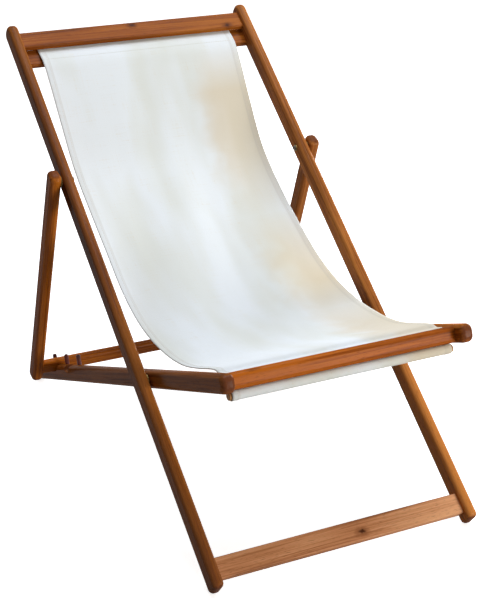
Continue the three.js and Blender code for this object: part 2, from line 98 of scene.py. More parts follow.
@dataclass(frozen=True)
class ChairPlan:
    """Main sizes of the chair in millimetres and the lines of its three frames."""

    back_leg_length: float = 1250.0
    back_leg_width: float = 22.0
    back_leg_depth: float = 38.0
    back_leg_top_radius: float = 16.0
    back_leg_foot_radius: float = 9.0
    rail_width: float = 26.0
    rail_depth: float = 34.0
    rail_nose_reach: float = 337.0
    rail_tail_reach: float = 712.0
    rail_nose_radius: float = 13.0
    rail_tail_radius: float = 10.0
    strut_width: float = 23.0
    strut_depth: float = 34.0
    strut_head_reach: float = 21.0
    strut_tail_reach: float = 529.0
    strut_end_radius: float = 12.0
    back_leg_x: float = 260.5
    layer_gap: float = 3.0
    seat_pivot_height: float = 412.5
    strut_pivot_height: float = 865.2
    notch_along: float = 559.0
    notch_centre_height: float = 18.9
    notch_pitch: float = 82.0
    prop_bar_along: float = 501.5

    @property
    def rail_x(self) -> float:
        """Distance of a rail's middle from the chair's middle."""
        return self.back_leg_x - (self.back_leg_width + self.rail_width) / 2 - self.layer_gap

    @property
    def strut_x(self) -> float:
        """Distance of a strut's middle from the chair's middle."""
        return self.back_leg_x + (self.back_leg_width + self.strut_width) / 2 + self.layer_gap

    @property
    def fold_angle(self) -> float:
        """Angle between back legs and rails while the prop bar rests in the middle notches."""
        pivots = self.strut_pivot_height - self.seat_pivot_height
        notch = math.hypot(self.notch_along, self.notch_centre_height)
        share = (pivots**2 + notch**2 - self.prop_bar_along**2) / (2 * pivots * notch)
        return math.acos(share) + math.atan2(self.notch_centre_height, self.notch_along)

    @property
    def foot_corner(self) -> Pair:
        """Middle of a back leg's lower foot corner, along and across the leg from the seat pivot."""
        radius = self.back_leg_foot_radius
        return self.seat_pivot_height - radius, self.back_leg_depth / 2 - radius

    @property
    def tail_corner(self) -> Pair:
        """Middle of a rail's lower tail corner, along and across the rail from the seat pivot."""
        radius = self.rail_tail_radius
        return self.rail_tail_reach - radius, self.rail_depth / 2 - radius

    @property
    def back_angle(self) -> float:
        """Lean of the back legs for which their feet and the tails of the rails share one floor."""
        foot_arm, foot_drop = self.foot_corner
        tail_arm, tail_drop = self.tail_corner
        fold = self.fold_angle
        sine = foot_arm + tail_arm * math.cos(fold) - tail_drop * math.sin(fold)
        cosine = foot_drop - tail_arm * math.sin(fold) - tail_drop * math.cos(fold)
        difference = self.rail_tail_radius - self.back_leg_foot_radius
        return math.asin(difference / math.hypot(sine, cosine)) - math.atan2(cosine, sine)

    @property
    def rail_line(self) -> Line:
        """Middle line of the rails, from the seat pivot to the rear, with the chair centred in plan."""
        back = self.back_angle
        angle = back - self.fold_angle

        def reach(arm: float, drop: float, lean: float, radius: float) -> float:
            """How far a rounded corner reaches from the seat pivot, measured level."""
            return arm * math.cos(lean) + drop * math.sin(lean) + radius

        nose_radius, top_radius = self.rail_nose_radius, self.back_leg_top_radius
        nose = reach(self.rail_nose_reach - nose_radius, self.rail_depth / 2 - nose_radius, -angle, nose_radius)
        foot = reach(*self.foot_corner, back, self.back_leg_foot_radius)
        top_arm = self.back_leg_length - top_radius - self.seat_pivot_height
        top = reach(top_arm, self.back_leg_depth / 2 - top_radius, back, top_radius)
        tail = reach(*self.tail_corner, -angle, self.rail_tail_radius)
        foot_arm, foot_drop = self.foot_corner
        height = foot_arm * math.sin(back) + foot_drop * math.cos(back) + self.back_leg_foot_radius
        return Line((max(nose, foot) - max(top, tail)) / 2, height, angle)

    @property
    def back_line(self) -> Line:
        """Middle line of the back legs, from their feet upwards."""
        seat = self.rail_line
        pivot = Line(seat.origin_y, seat.origin_z, self.back_angle)
        return Line(*pivot.at(-self.seat_pivot_height), self.back_angle)

    @property
    def strut_line(self) -> Line:
        """Middle line of the struts, from their pivot down to the prop bar."""
        top = self.back_line.at(self.strut_pivot_height)
        bar = self.rail_line.at(self.notch_along, self.notch_centre_height)
        return Line(*top, math.atan2(bar[1] - top[1], bar[0] - top[0]))


PLAN = ChairPlan()


# Colours and nodes


def linear(colour: str) -> Colour:
    """Turns an sRGB hex colour to linear.

    Args:
        colour: Six hex digits with a leading #.

    Returns:
        Linear red, green and blue, and an alpha of 1.
    """
    parts = [int(colour[i : i + 2], 16) / 255 for i in (1, 3, 5)]
    bent = [c / 12.92 if c <= 0.04045 else ((c + 0.055) / 1.055) ** 2.4 for c in parts]
    return (bent[0], bent[1], bent[2], 1.0)


def feed(tree: Tree, node: Node, **inputs: object) -> None:
    """Links or sets inputs of a node.

    Args:
        tree: Tree that holds the node.
        node: Node to feed.
        inputs: Input name, its spaces written as underscores, or i and its number, with an
            output socket to link or a value to set.
    """
    for name, value in inputs.items():
        by_number = name[0] == "i" and name[1:].isdigit()
        socket = node.inputs[int(name[1:])] if by_number else node.inputs[name.replace("_", " ")]
        if isinstance(value, Socket):
            tree.links.new(value, socket)
        else:
            socket.default_value = value


def add_node(tree: Tree, kind: str, settings: dict[str, object] | None = None, **inputs: object) -> Node:
    """Adds a node with its settings and links.

    Args:
        tree: Tree that takes the node.
        kind: Type of the node.
        settings: Attributes of the node, set before its inputs.
        inputs: Inputs, written as feed() takes them.

    Returns:
        The new node.
    """
    node = tree.nodes.new(kind)
    for name, value in (settings or {}).items():
        setattr(node, name, value)
    feed(tree, node, **inputs)
    return node


def new_material(name: str) -> tuple[Material, Tree, Node]:
    """Makes an empty material with a Principled shader.

    Args:
        name: Name of the material.

    Returns:
        The material, its tree and its shader node.
    """
    material = bpy.data.materials.new(name)
    material.use_nodes = True
    tree = material.node_tree
    tree.nodes.clear()
    shader = add_node(tree, "ShaderNodeBsdfPrincipled")
    add_node(tree, "ShaderNodeOutputMaterial", Surface=shader.outputs["BSDF"])
    return material, tree, shader


def ramp(tree: Tree, factor: Socket, stops: Sequence[tuple[float, str]]) -> Socket:
    """Colours a factor through a row of stops.

    Args:
        tree: Tree that takes the node.
        factor: Output that runs from 0 to 1.
        stops: Places and hex colours.

    Returns:
        The colour output.
    """
    node = add_node(tree, "ShaderNodeValToRGB", Fac=factor)
    elements = node.color_ramp.elements
    while len(elements) > 1:
        elements.remove(elements[-1])
    elements[0].position, elements[0].color = stops[0][0], linear(stops[0][1])
    for place, colour in stops[1:]:
        elements.new(place).color = linear(colour)
    return node.outputs["Color"]


def remap(
    tree: Tree, value: Socket, low: float, high: float, to_low: float = 0.0, to_high: float = 1.0
) -> Socket:
    """Stretches a range of a value to another range, with soft ends.

    Args:
        tree: Tree that takes the node.
        value: Output to stretch.
        low: Value that gives to_low.
        high: Value that gives to_high.
        to_low: Result at low.
        to_high: Result at high.

    Returns:
        The stretched output.
    """
    soft = {"interpolation_type": "SMOOTHSTEP"}
    inputs = {"Value": value, "From_Min": low, "From_Max": high, "To_Min": to_low, "To_Max": to_high}
    return add_node(tree, "ShaderNodeMapRange", soft, **inputs).outputs["Result"]


def tinted(
    tree: Tree, base: Socket | Colour, over: Socket | Colour, amount: Socket | float, blend: str = "MIX"
) -> Socket:
    """Lays one colour over another.

    Args:
        tree: Tree that takes the node.
        base: Colour below.
        over: Colour above.
        amount: How much of the upper colour shows.
        blend: Blend type of the Mix node.

    Returns:
        The mixed colour output.
    """
    settings = {"data_type": "RGBA", "blend_type": blend}
    return add_node(tree, "ShaderNodeMix", settings, i0=amount, i6=base, i7=over).outputs[2]


def calc(tree: Tree, operation: str, *values: object) -> Socket:
    """Result of a Math node on outputs or numbers."""
    inputs = {f"i{number}": value for number, value in enumerate(values)}
    return add_node(tree, "ShaderNodeMath", {"operation": operation}, **inputs).outputs[0]


def vector_calc(tree: Tree, operation: str, *values: object) -> Socket:
    """Result of a Vector Math node, which for LENGTH is a number."""
    inputs = {f"i{number}": value for number, value in enumerate(values)}
    node = add_node(tree, "ShaderNodeVectorMath", {"operation": operation}, **inputs)
    return node.outputs["Value" if operation == "LENGTH" else "Vector"]


def scaled(tree: Tree, place: Socket, scale: Triple) -> Socket:
    """A place scaled along its three axes."""
    return add_node(tree, "ShaderNodeMapping", Vector=place, Scale=scale).outputs["Vector"]


def clouds(
    tree: Tree, place: Socket, scale: float, detail: float, roughness: float = 0.5, distortion: float = 0.0
) -> Socket:
    """Adds a noise texture.

    Args:
        tree: Tree that takes the node.
        place: Coordinates to read it at.
        scale: Marks in a unit of the coordinates.
        detail: Octaves of finer noise.
        roughness: Weight of the finer noise.
        distortion: How far its marks are drawn about.

    Returns:
        The noise, about 0.5 on average.
    """
    node = add_node(tree, "ShaderNodeTexNoise", Vector=place, Scale=scale, Detail=detail)
    feed(tree, node, Roughness=roughness, Distortion=distortion)
    return node.outputs["Fac"]


def relief(
    tree: Tree, height: Socket, strength: float, depth: float, sunk: bool = False, **base: object
) -> Socket:
    """Adds a fine relief.

    Args:
        tree: Tree that takes the node.
        height: Height of the surface, from 0 to 1.
        strength: Share of the relief that shows.
        depth: Depth of the relief in millimetres.
        sunk: Whether high values lie deep.
        base: The Normal that it lies on, if there is one.

    Returns:
        The normal output.
    """
    inputs = {"Strength": strength, "Distance": depth * MM, "Height": height, **base}
    return add_node(tree, "ShaderNodeBump", {"invert": sunk}, **inputs).outputs["Normal"]


class Grain(Enum):
    """Directions that the grain of a board can run in, as the turn about X that lays it along Y."""

    BACK_LEG = -PLAN.back_line.angle
    SEAT_RAIL = -PLAN.rail_line.angle
    STRUT = -PLAN.strut_line.angle
    CROSSBAR = None


class Tone(Enum):
    """Tones of the boards, which differ from board to board: their light, middle and dark colours. Part of the
    difference between left and right boards is painted shade.
    """

    # DEEP and PALE: a pair's left board takes the darker tone, partly its own tone, partly painted shade on the
    # chair's left, away from the light
    DEEP = ("#915523", "#744120", "#4D280F")
    EVEN = ("#BE6D22", "#97511A", "#64320F")
    PALE = ("#BE783A", "#9B5D2C", "#6B3A19")
    SLAT = ("#A35E1E", "#8C4A18", "#64320F")
    SEAT_BAR = ("#B4611B", "#984E17", "#64320F")
    # FOOT_BOARD is paler and pinker than the rest: partly its own tone, partly a painted reflection on its face
    FOOT_BOARD = ("#D89F74", "#C2845A", "#905A38")


@dataclass(frozen=True)
class VarnishedHardwood:
    """Planed hardwood with rounded edges under two coats of satin varnish.

    The eye sees orange-brown boards with darker growth streaks along them, fine short pores, now and
    then a knot, and a soft broad highlight from the varnish.
    """

    name: str
    grain: Grain
    tone: Tone = Tone.EVEN
    vein: str = "#3A1A09"
    end: str = "#673A25"
    vein_share: float = 0.36
    knots: tuple[Triple, ...] = ()
    knot_radius: float = 9.0
    seed: float = 0.0
    streak_width: float = 5.5
    pore_length: float = 14.0
    roughness: float = 0.36
    # Colour and share of the paler rounded edges: partly wear, partly painted highlight
    worn_and_sheen: str = "#B5743C"
    worn_and_sheen_share: float = 0.18
    knot_waver: float = 8.0

    def build(self) -> Material:
        """Builds the material.

        Returns:
            The finished material.
        """
        material, tree, shader = new_material(self.name)
        light, middle, dark = self.tone.value
        vein = linear(self.vein)
        turn = (self.grain.value, 0.0, 0.0)
        if self.grain is Grain.CROSSBAR:
            turn = (0.0, 0.0, math.radians(90))
        given = add_node(tree, "ShaderNodeTexCoord").outputs
        place = given["Object"]
        apart = (self.seed, self.seed * 0.7, self.seed * 1.3)
        lay = add_node(tree, "ShaderNodeMapping", Vector=place, Rotation=turn, Location=apart).outputs["Vector"]

        def stretched(across: float, along: float, detail: float, distortion: float) -> Socket:
            """Noise whose marks are so many millimetres wide and long."""
            marks = scaled(tree, lay, (1 / across / MM, 1 / along / MM, 1 / across / MM))
            return clouds(tree, marks, 1.0, detail, 0.55, distortion)

        # Slow change of tone along and between the boards
        tone = stretched(90, 520, 2.0, 0.3)
        # Growth streaks, a few millimetres wide and about a hand long
        streak = stretched(self.streak_width, 260, 3.0, 0.9)
        # Wide dark heartwood bands
        band = stretched(16, 420, 2.0, 0.6)
        # Pores, drawn about 1 mm wide so that they still show at the photograph's scale
        pore = stretched(1.1, self.pore_length, 2.0, 0.0)

        growth = calc(tree, "MULTIPLY_ADD", tone, 0.55, calc(tree, "MULTIPLY", streak, 0.45))
        base = ramp(tree, remap(tree, growth, 0.3, 0.68), [(0.0, dark), (0.35, middle), (0.75, light)])
        veined = tinted(tree, base, vein, remap(tree, band, 0.56, 0.72, 0.0, self.vein_share))
        pored = tinted(tree, veined, vein, remap(tree, pore, 0.56, 0.74, 0.0, 0.42))

        # Small knots by chance: sparse cells, each a dark eye with a soft rim
        cells = scaled(tree, lay, (1 / 70 / MM, 1 / 210 / MM, 1 / 70 / MM))
        knot = add_node(tree, "ShaderNodeTexVoronoi", Vector=cells, Scale=1.0, Randomness=1.0).outputs
        chosen = add_node(tree, "ShaderNodeSeparateColor", Color=knot["Color"]).outputs[0]
        eye = remap(tree, knot["Distance"], 0.07, 0.15, 1.0, 0.0)
        marked = tinted(tree, pored, vein, calc(tree, "MULTIPLY", remap(tree, chosen, 0.80, 0.84), eye))
        for spot in self.knots:
            marked = self.with_knot(tree, marked, place, spot)

        # End grain drinks more varnish and is darker: it shows where the surface faces along the grain
        turned = add_node(
            tree, "ShaderNodeMapping", {"vector_type": "NORMAL"}, Vector=given["Normal"], Rotation=turn
        ).outputs["Vector"]
        facing = add_node(tree, "ShaderNodeSeparateXYZ", Vector=turned).outputs
        steep = calc(tree, "ABSOLUTE", facing["Y"])
        if self.grain is not Grain.CROSSBAR:
            # Paler along the rounded edges: partly varnish worn thin by hands, partly a painted highlight
            # standing in for the varnish's sheen there
            rounding = calc(tree, "ABSOLUTE", calc(tree, "MULTIPLY", facing["X"], facing["Z"]))
            rubbed_and_sheen = remap(tree, rounding, 0.15, 0.5, 0.0, self.worn_and_sheen_share)
            marked = tinted(tree, marked, linear(self.worn_and_sheen), rubbed_and_sheen)
        ended = tinted(tree, marked, linear(self.end), remap(tree, steep, 0.45, 0.95, 0.0, 0.85))

        # Varnish gets thinner and a little rougher over the open pores
        feed(
            tree,
            shader,
            Base_Color=ended,
            Roughness=remap(tree, pore, 0.45, 0.75, self.roughness, self.roughness + 0.12),
            Normal=relief(tree, streak, 0.18, 0.35, Normal=relief(tree, pore, 0.25, 0.12, sunk=True)),
            IOR=1.5,
            Specular_IOR_Level=0.0,
            Coat_Weight=0.09,
            Coat_Roughness=0.18,
        )
        return material

    def with_knot(self, tree: Tree, colour: Socket, place: Socket, spot: Triple) -> Socket:
        """Lays a knot over the wood: a dark eye with a soft streaked rim drawn out along the grain.

        Args:
            tree: Tree that takes the nodes.
            colour: Colour of the wood.
            place: Object coordinates in metres.
            spot: Middle of the knot in millimetres.

        Returns:
            The colour with the knot.
        """
        waver = self.knot_waver * MM
        wavering = add_node(tree, "ShaderNodeTexNoise", Vector=place, Scale=120.0, Detail=2.0).outputs["Color"]
        shaken = vector_calc(tree, "MULTIPLY_ADD", wavering, (waver, waver, waver), place)
        offset = vector_calc(tree, "SUBTRACT", shaken, tuple(value * MM + waver / 2 for value in spot))
        if self.grain is Grain.CROSSBAR:
            offset = vector_calc(tree, "MULTIPLY", offset, (0.6, 1.0, 1.0))
        far = vector_calc(tree, "LENGTH", offset)
        radius = self.knot_radius * MM
        rim = remap(tree, far, radius * 0.5, radius * 1.6, 0.75, 0.0)
        eye = remap(tree, far, radius * 0.2, radius * 0.7, 0.9, 0.0)
        return tinted(tree, tinted(tree, colour, linear(self.tone.value[2]), rim), linear(self.vein), eye)


@dataclass(frozen=True)
class TurnedWood:
    """Wood turned on a lathe: fine rings of tool marks round the piece, and grain along it."""

    name: str
    light: str
    dark: str
    roughness: float = 0.42
    coat: float = 0.3

    def build(self) -> Material:
        """Builds the material.

        Returns:
            The finished material.
        """
        material, tree, shader = new_material(self.name)
        place = add_node(tree, "ShaderNodeTexCoord").outputs["Object"]
        grain = clouds(tree, place, 260.0, 3.0, 0.6, 0.4)
        slow = calc(tree, "MULTIPLY", clouds(tree, place, 38.0, 1.0), 0.6)
        mixed = remap(tree, calc(tree, "MULTIPLY_ADD", grain, 0.4, slow), 0.35, 0.65)
        feed(
            tree,
            shader,
            Base_Color=ramp(tree, mixed, [(0.0, self.dark), (1.0, self.light)]),
            Roughness=remap(tree, grain, 0.3, 0.7, self.roughness - 0.05, self.roughness + 0.1),
            Normal=relief(tree, grain, 0.2, 0.15),
            Specular_IOR_Level=0.2,
            Coat_Weight=self.coat,
            Coat_Roughness=0.25,
        )
        return material


@dataclass(frozen=True)
class WovenCanvas:
    """Undyed cotton canvas in plain weave, washed and pressed.

    The eye sees a matt cool white with a faint thread grid, thicker threads here and there, soft slow
    changes of tone, and a painted warm shade down its right side where the cloth turns from the light.
    """

    name: str = "Cotton canvas, plain weave"
    light: str = "#E8EEF2"
    dark: str = "#DEE2DD"
    warm: str = "#D6C7A8"
    crease: str = "#BDB8AE"
    thread: float = 2.1
    hem_width: float = 13.0
    # How strongly the painted warm shade shows at shares of a metre down from its top end
    painted_shade_stops: tuple[tuple[float, str], ...] = (
        (0.1, "#303030"), (0.2, "#F0F0F0"), (0.34, "#E0E0E0"), (0.5, "#606060"),
        (0.6, "#D8D8D8"), (0.7, "#FFFFFF"), (0.8, "#B4B4B4"), (0.9, "#F0F0F0"),
    )

    def build(self) -> Material:
        """Builds the material.

        Returns:
            The finished material.
        """
        material, tree, shader = new_material(self.name)
        # The map is in metres on the flat cloth. Real threads are 0.7 mm apart and wouldn't show, so
        # each drawn thread stands for three
        flat = add_node(tree, "ShaderNodeUVMap", {"uv_map": "cloth"}).outputs["UV"]

        def threads(direction: str) -> Socket:
            """Rows of threads across one direction."""
            return add_node(
                tree,
                "ShaderNodeTexWave",
                {"wave_type": "BANDS", "bands_direction": direction, "wave_profile": "SIN"},
                Vector=flat,
                Scale=1 / (self.thread * MM) / 2,
                Distortion=0.6,
                Detail=1.0,
                Detail_Scale=2.0,
            ).outputs["Fac"]

        def slubs(across: float, along: float) -> Socket:
            """Thicker threads, so many millimetres wide and long."""
            return clouds(tree, scaled(tree, flat, (1 / across / MM, 1 / along / MM, 1.0)), 1.0, 1.0)

        weave = calc(tree, "MULTIPLY", threads("X"), threads("Y"))
        slub = calc(tree, "ADD", slubs(60, 2.2), slubs(2.2, 60))
        slow = clouds(tree, scaled(tree, flat, (8.5, 2.6, 1.0)), 1.0, 2.0)
        base = ramp(tree, remap(tree, slow, 0.3, 0.7), [(0.0, self.dark), (0.7, self.light)])

        # Painted warm shade down the right side, beside the shoulder, hip and knee, where the cloth turns away
        # from the light
        spot = add_node(tree, "ShaderNodeSeparateXYZ", Vector=flat).outputs
        wavering = calc(tree, "MULTIPLY_ADD", clouds(tree, flat, 11.0, 2.0, 0.55, 0.4), 0.9, -0.45)
        painted_shade_side = calc(tree, "ADD", remap(tree, spot["X"], 0.02, 0.19), wavering)
        painted_shade_amount = calc(
            tree, "MULTIPLY", remap(tree, painted_shade_side, 0.15, 0.9, 0.0, 0.85), ramp(tree, spot["Y"], self.painted_shade_stops)
        )
        painted_shade_cloth = tinted(tree, base, linear(self.warm), painted_shade_amount)
        between = remap(tree, weave, 0.0, 0.5, 0.2, 0.0)
        threaded = tinted(tree, painted_shade_cloth, linear(self.dark), between, "MULTIPLY")
        uneven = tinted(tree, threaded, linear(self.warm), remap(tree, slub, 1.12, 1.4, 0.0, 0.2))

        # Painted shade: a soft grey line where the hem's fold ends, with a faint darkening just inside it
        edge = add_node(tree, "ShaderNodeAttribute", {"attribute_name": "edge_distance"}).outputs["Fac"]
        hem = self.hem_width * MM
        before = remap(tree, edge, hem - 1.6 * MM, hem)
        after = remap(tree, edge, hem, hem + 3.0 * MM, 1.0, 0.0)
        fold_shade_inside = remap(tree, edge, hem - 1.0 * MM, hem, 0.1, 0.0)
        shaded = calc(tree, "MULTIPLY_ADD", calc(tree, "MULTIPLY", before, after), 0.3, fold_shade_inside)
        feed(
            tree,
            shader,
            Base_Color=tinted(tree, uneven, linear(self.crease), shaded),
            Normal=relief(tree, calc(tree, "MULTIPLY_ADD", slub, 0.6, weave), 0.35, 0.3),
            Roughness=0.88,
            Specular_IOR_Level=0.25,
            Sheen_Weight=0.15,
            Sheen_Roughness=0.5,
        )
        return material


@dataclass(frozen=True)
class SewingThread:
    """Twisted cotton thread, a little warmer and shinier than the canvas, with a fine diagonal twist."""

    name: str = "Twisted cotton thread"
    light: str = "#E2DED2"
    dark: str = "#B9B3A4"

    def build(self) -> Material:
        """Builds the material.

        Returns:
            The finished material.
        """
        material, tree, shader = new_material(self.name)
        place = add_node(tree, "ShaderNodeTexCoord").outputs["Object"]
        bands = {"wave_type": "BANDS", "bands_direction": "DIAGONAL"}
        wave = add_node(tree, "ShaderNodeTexWave", bands, Vector=place, Scale=420.0, Distortion=0.3)
        twist = wave.outputs["Fac"]
        colour = ramp(tree, twist, [(0.0, self.dark), (1.0, self.light)])
        feed(tree, shader, Base_Color=colour, Normal=relief(tree, twist, 0.3, 0.1), Roughness=0.7)
        return material


@dataclass(frozen=True)
class TurnedMetal:
    """Metal turned on a lathe and handled: faint tool lines, and a duller film in patches."""

    name: str
    bright: str
    dull: str
    roughness: float = 0.42

    def build(self) -> Material:
        """Builds the material.

        Returns:
            The finished material.
        """
        material, tree, shader = new_material(self.name)
        place = add_node(tree, "ShaderNodeTexCoord").outputs["Object"]
        film = clouds(tree, place, 210.0, 4.0, 0.6)
        feed(
            tree,
            shader,
            Base_Color=ramp(tree, remap(tree, film, 0.38, 0.62), [(0.0, self.dull), (1.0, self.bright)]),
            Roughness=remap(tree, film, 0.35, 0.65, self.roughness + 0.14, self.roughness),
            Normal=relief(tree, clouds(tree, place, 1400.0, 1.0), 0.15, 0.05),
            Metallic=1.0,
        )
        return material


# Meshes


def new_object(
    name: str,
    vertices: Sequence[Vector],
    faces: Sequence[Sequence[int]],
    material: Material | None = None,
    smooth: bool = True,
) -> Thing:
    """Makes a mesh object at the origin.

    Args:
        name: Name of the object.
        vertices: Places in metres.
        faces: Rows of vertex numbers, each seen anticlockwise from outside.
        material: Material of all its faces.
        smooth: Whether its faces shade smoothly.

    Returns:
        The new object.
    """
    mesh = bpy.data.meshes.new(name)
    mesh.from_pydata([tuple(v) for v in vertices], [], [list(f) for f in faces])
    mesh.validate()
    mesh.update()
    if smooth:
        mesh.shade_smooth()
    if material is not None:
        mesh.materials.append(material)
    thing = bpy.data.objects.new(name, mesh)
    bpy.context.scene.collection.objects.link(thing)
    return thing


def outward(thing: Thing, merge: float = 0.0) -> None:
    """Merges doubles where asked and turns all faces of a closed mesh outwards.

    Args:
        thing: Mesh object to turn.
        merge: Distance in metres under which vertices merge, or 0 to keep all.
    """
    shell = bmesh.new()
    shell.from_mesh(thing.data)
    if merge:
        bmesh.ops.remove_doubles(shell, verts=shell.verts, dist=merge)
    bmesh.ops.recalc_face_normals(shell, faces=shell.faces)
    shell.to_mesh(thing.data)
    shell.free()
    thing.data.update()


def applied(thing: Thing) -> Thing:
    """Turns an object with modifiers into a plain mesh.

    Args:
        thing: Mesh object with live modifiers.

    Returns:
        The same object, its mesh replaced and its modifiers gone.
    """
    graph = bpy.context.evaluated_depsgraph_get()
    result = bpy.data.meshes.new_from_object(
        thing.evaluated_get(graph), preserve_all_data_layers=True, depsgraph=graph
    )
    thing.modifiers.clear()
    old, thing.data = thing.data, result
    name = old.name
    bpy.data.meshes.remove(old)
    result.name = name
    return thing


def cut_away(thing: Thing, cutters: Iterable[Thing]) -> Thing:
    """Cuts solids out of a board and removes them.

    Args:
        thing: Closed mesh object.
        cutters: Closed mesh objects to cut away.

    Returns:
        The cut object.
    """
    for cutter in cutters:
        modifier = thing.modifiers.new("cut", "BOOLEAN")
        modifier.operation = "DIFFERENCE"
        modifier.solver = "EXACT"
        modifier.object = cutter
        applied(thing)
        bpy.data.objects.remove(cutter)
    return thing


def dressed(thing: Thing, body: str, slot: str, *nodes: str, sharp_degrees: float = 40.0) -> Thing:
    """Shades a piece's flat faces flat and its rounding smooth, and puts it in place of its nodes.

    Args:
        thing: Mesh object to finish.
        body: Body that it rides on.
        slot: Not used.
        nodes: Nodes of the frame that it replaces.
        sharp_degrees: Edges that turn by more than this stay sharp.

    Returns:
        The same object with its normals stored in its mesh.
    """
    thing.data.shade_smooth()
    thing.data.set_sharp_from_angle(angle=math.radians(sharp_degrees))
    modifier = thing.modifiers.new("normals", "WEIGHTED_NORMAL")
    modifier.keep_sharp = True
    modifier.weight = 60
    applied(thing)
    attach(thing, body)
    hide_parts(*nodes)
    return thing


def quarter(steps: int, first: int = 0) -> list[Pair]:
    """Cosines and sines over a quarter turn, from a given step to its end."""
    angles = [math.radians(90 * step / steps) for step in range(first, steps + 1)]
    return [(math.cos(angle), math.sin(angle)) for angle in angles]


def around(radius: float, angle: float, height: float) -> Vector:
    """Place at a height and round Z, from millimetres to metres."""
    return Vector((radius * math.cos(angle), radius * math.sin(angle), height)) * MM


def quads(rows: int, columns: int, closed: bool) -> list[tuple[int, ...]]:
    """Faces between rows of vertices.

    Args:
        rows: Number of rows.
        columns: Vertices in a row.
        closed: Whether each row closes on itself.

    Returns:
        The faces as vertex numbers, row by row.
    """
    faces = []
    for row in range(rows - 1):
        for column in range(columns if closed else columns - 1):
            here, after = row * columns + column, row * columns + (column + 1) % columns
            faces.append((here, after, after + columns, here + columns))
    return faces


def rounded_outline(
    low: float, high: float, half: float, low_radius: float, high_radius: float, inset: float, steps: int
) -> list[Pair]:
    """Outline of a board seen from the side, with rounded ends.

    Args:
        low: Where the board starts along its line.
        high: Where it ends.
        half: Half of its depth.
        low_radius: Corner radius at its start.
        high_radius: Corner radius at its end.
        inset: How far the outline lies inside the full one.
        steps: Pieces in each corner's arc.

    Returns:
        Points as along and off, anticlockwise.
    """
    corners = [
        (high - high_radius, -half + high_radius, high_radius, -90),
        (high - high_radius, half - high_radius, high_radius, 0),
        (low + low_radius, half - low_radius, low_radius, 90),
        (low + low_radius, -half + low_radius, low_radius, 180),
    ]
    points = []
    for along, off, radius, start in corners:
        reach = radius - inset
        for step in range(steps + 1):
            angle = math.radians(start + 90 * step / steps)
            points.append((along + reach * math.cos(angle), off + reach * math.sin(angle)))
    return points


@dataclass
class BoardPair:
    """A left and a right board, each seen from the side as a long outline with rounded ends.

    Their long edges are rounded over, and each has wood of its own.
    """

    part: str
    body: str
    line: Line
    x: float
    low: float
    high: float
    depth: float
    width: float
    low_radius: float
    high_radius: float
    grain: Grain
    tones: tuple[Tone, Tone]
    seed: float
    edge: float = 9.0
    edge_steps: int = 8
    corner_steps: int = 10

    def board(self, name: str, x: float, material: Material) -> Thing:
        """Builds one board as a closed mesh.

        Args:
            name: Name of the board.
            x: Where its middle lies across the chair.
            material: Its wood.

        Returns:
            The board.
        """
        levels = [
            (-self.width / 2 + self.edge * (1 - cosine), self.edge * (1 - sine))
            for cosine, sine in quarter(self.edge_steps)
        ]
        levels += [(-level, inset) for level, inset in reversed(levels)]
        rings = []
        for level, inset in levels:
            outline = rounded_outline(
                self.low, self.high, self.depth / 2, self.low_radius, self.high_radius, inset, self.corner_steps
            )
            rings.append([self.line.point(x + level, along, off) for along, off in outline])
        return skinned(name, rings, material)

    def build(self, cutters: Callable[[float], list[Thing]] | None = None) -> list[Thing]:
        """Builds and dresses both boards.

        Args:
            cutters: Makes the solids to cut out of the board whose middle lies at a given X.

        Returns:
            The left and the right board.
        """
        boards = []
        # The left board of each pair takes the darker tone: partly the wood's own tone, partly painted shade on
        # the chair's left, away from the light
        for side, sign, tone in zip(SIDES, (-1, 1), self.tones):
            name = f"Varnished hardwood, {side} {self.part}"
            wood = VarnishedHardwood(name, self.grain, tone, seed=self.seed + sign).build()
            node = f"{side}_{self.part.replace(' ', '_')}"
            board = self.board(f"{node}_board", sign * self.x, wood)
            if cutters:
                cut_away(board, cutters(sign * self.x))
            boards.append(dressed(board, self.body, "varnished_wood", node))
        return boards


def skinned(name: str, rings: Sequence[Sequence[Vector]], material: Material) -> Thing:
    """Skins a row of rings with quads and closes both ends.

    Args:
        name: Name of the object.
        rings: Rings of equally many points.
        material: Material of the skin.

    Returns:
        The closed object, its faces outwards.
    """
    count = len(rings[0])
    vertices = [point for ring in rings for point in ring]
    faces = quads(len(rings), count, True)
    faces.append(tuple(reversed(range(count))))
    faces.append(tuple(range(len(vertices) - count, len(vertices))))
    thing = new_object(name, vertices, faces, material)
    outward(thing, 1e-6)
    return thing


@dataclass
class Crossbar:
    """A bar across the chair with a rounded section, between two boards."""

    name: str
    line: Line
    along: float
    off: float
    height: float
    thickness: float
    edge: float
    reach: float
    corner_steps: int = 7
    rows: int = 24

    def build(self, material: Material, body: str, node: str) -> Thing:
        """Builds the bar as one closed mesh and dresses it.

        Args:
            material: Its wood.
            body: Body that it rides on.
            node: Node of the frame that it replaces.

        Returns:
            The bar.
        """
        low, high = self.along - self.height / 2, self.along + self.height / 2
        outline = rounded_outline(low, high, self.thickness / 2, self.edge, self.edge, 0.0, self.corner_steps)
        rings = []
        for row in range(self.rows + 1):
            x = self.reach * (row / self.rows * 2 - 1)
            rings.append([self.line.point(x, along, self.off + off) for along, off in outline])
        return dressed(skinned(self.name, rings, material), body, "varnished_wood", node)


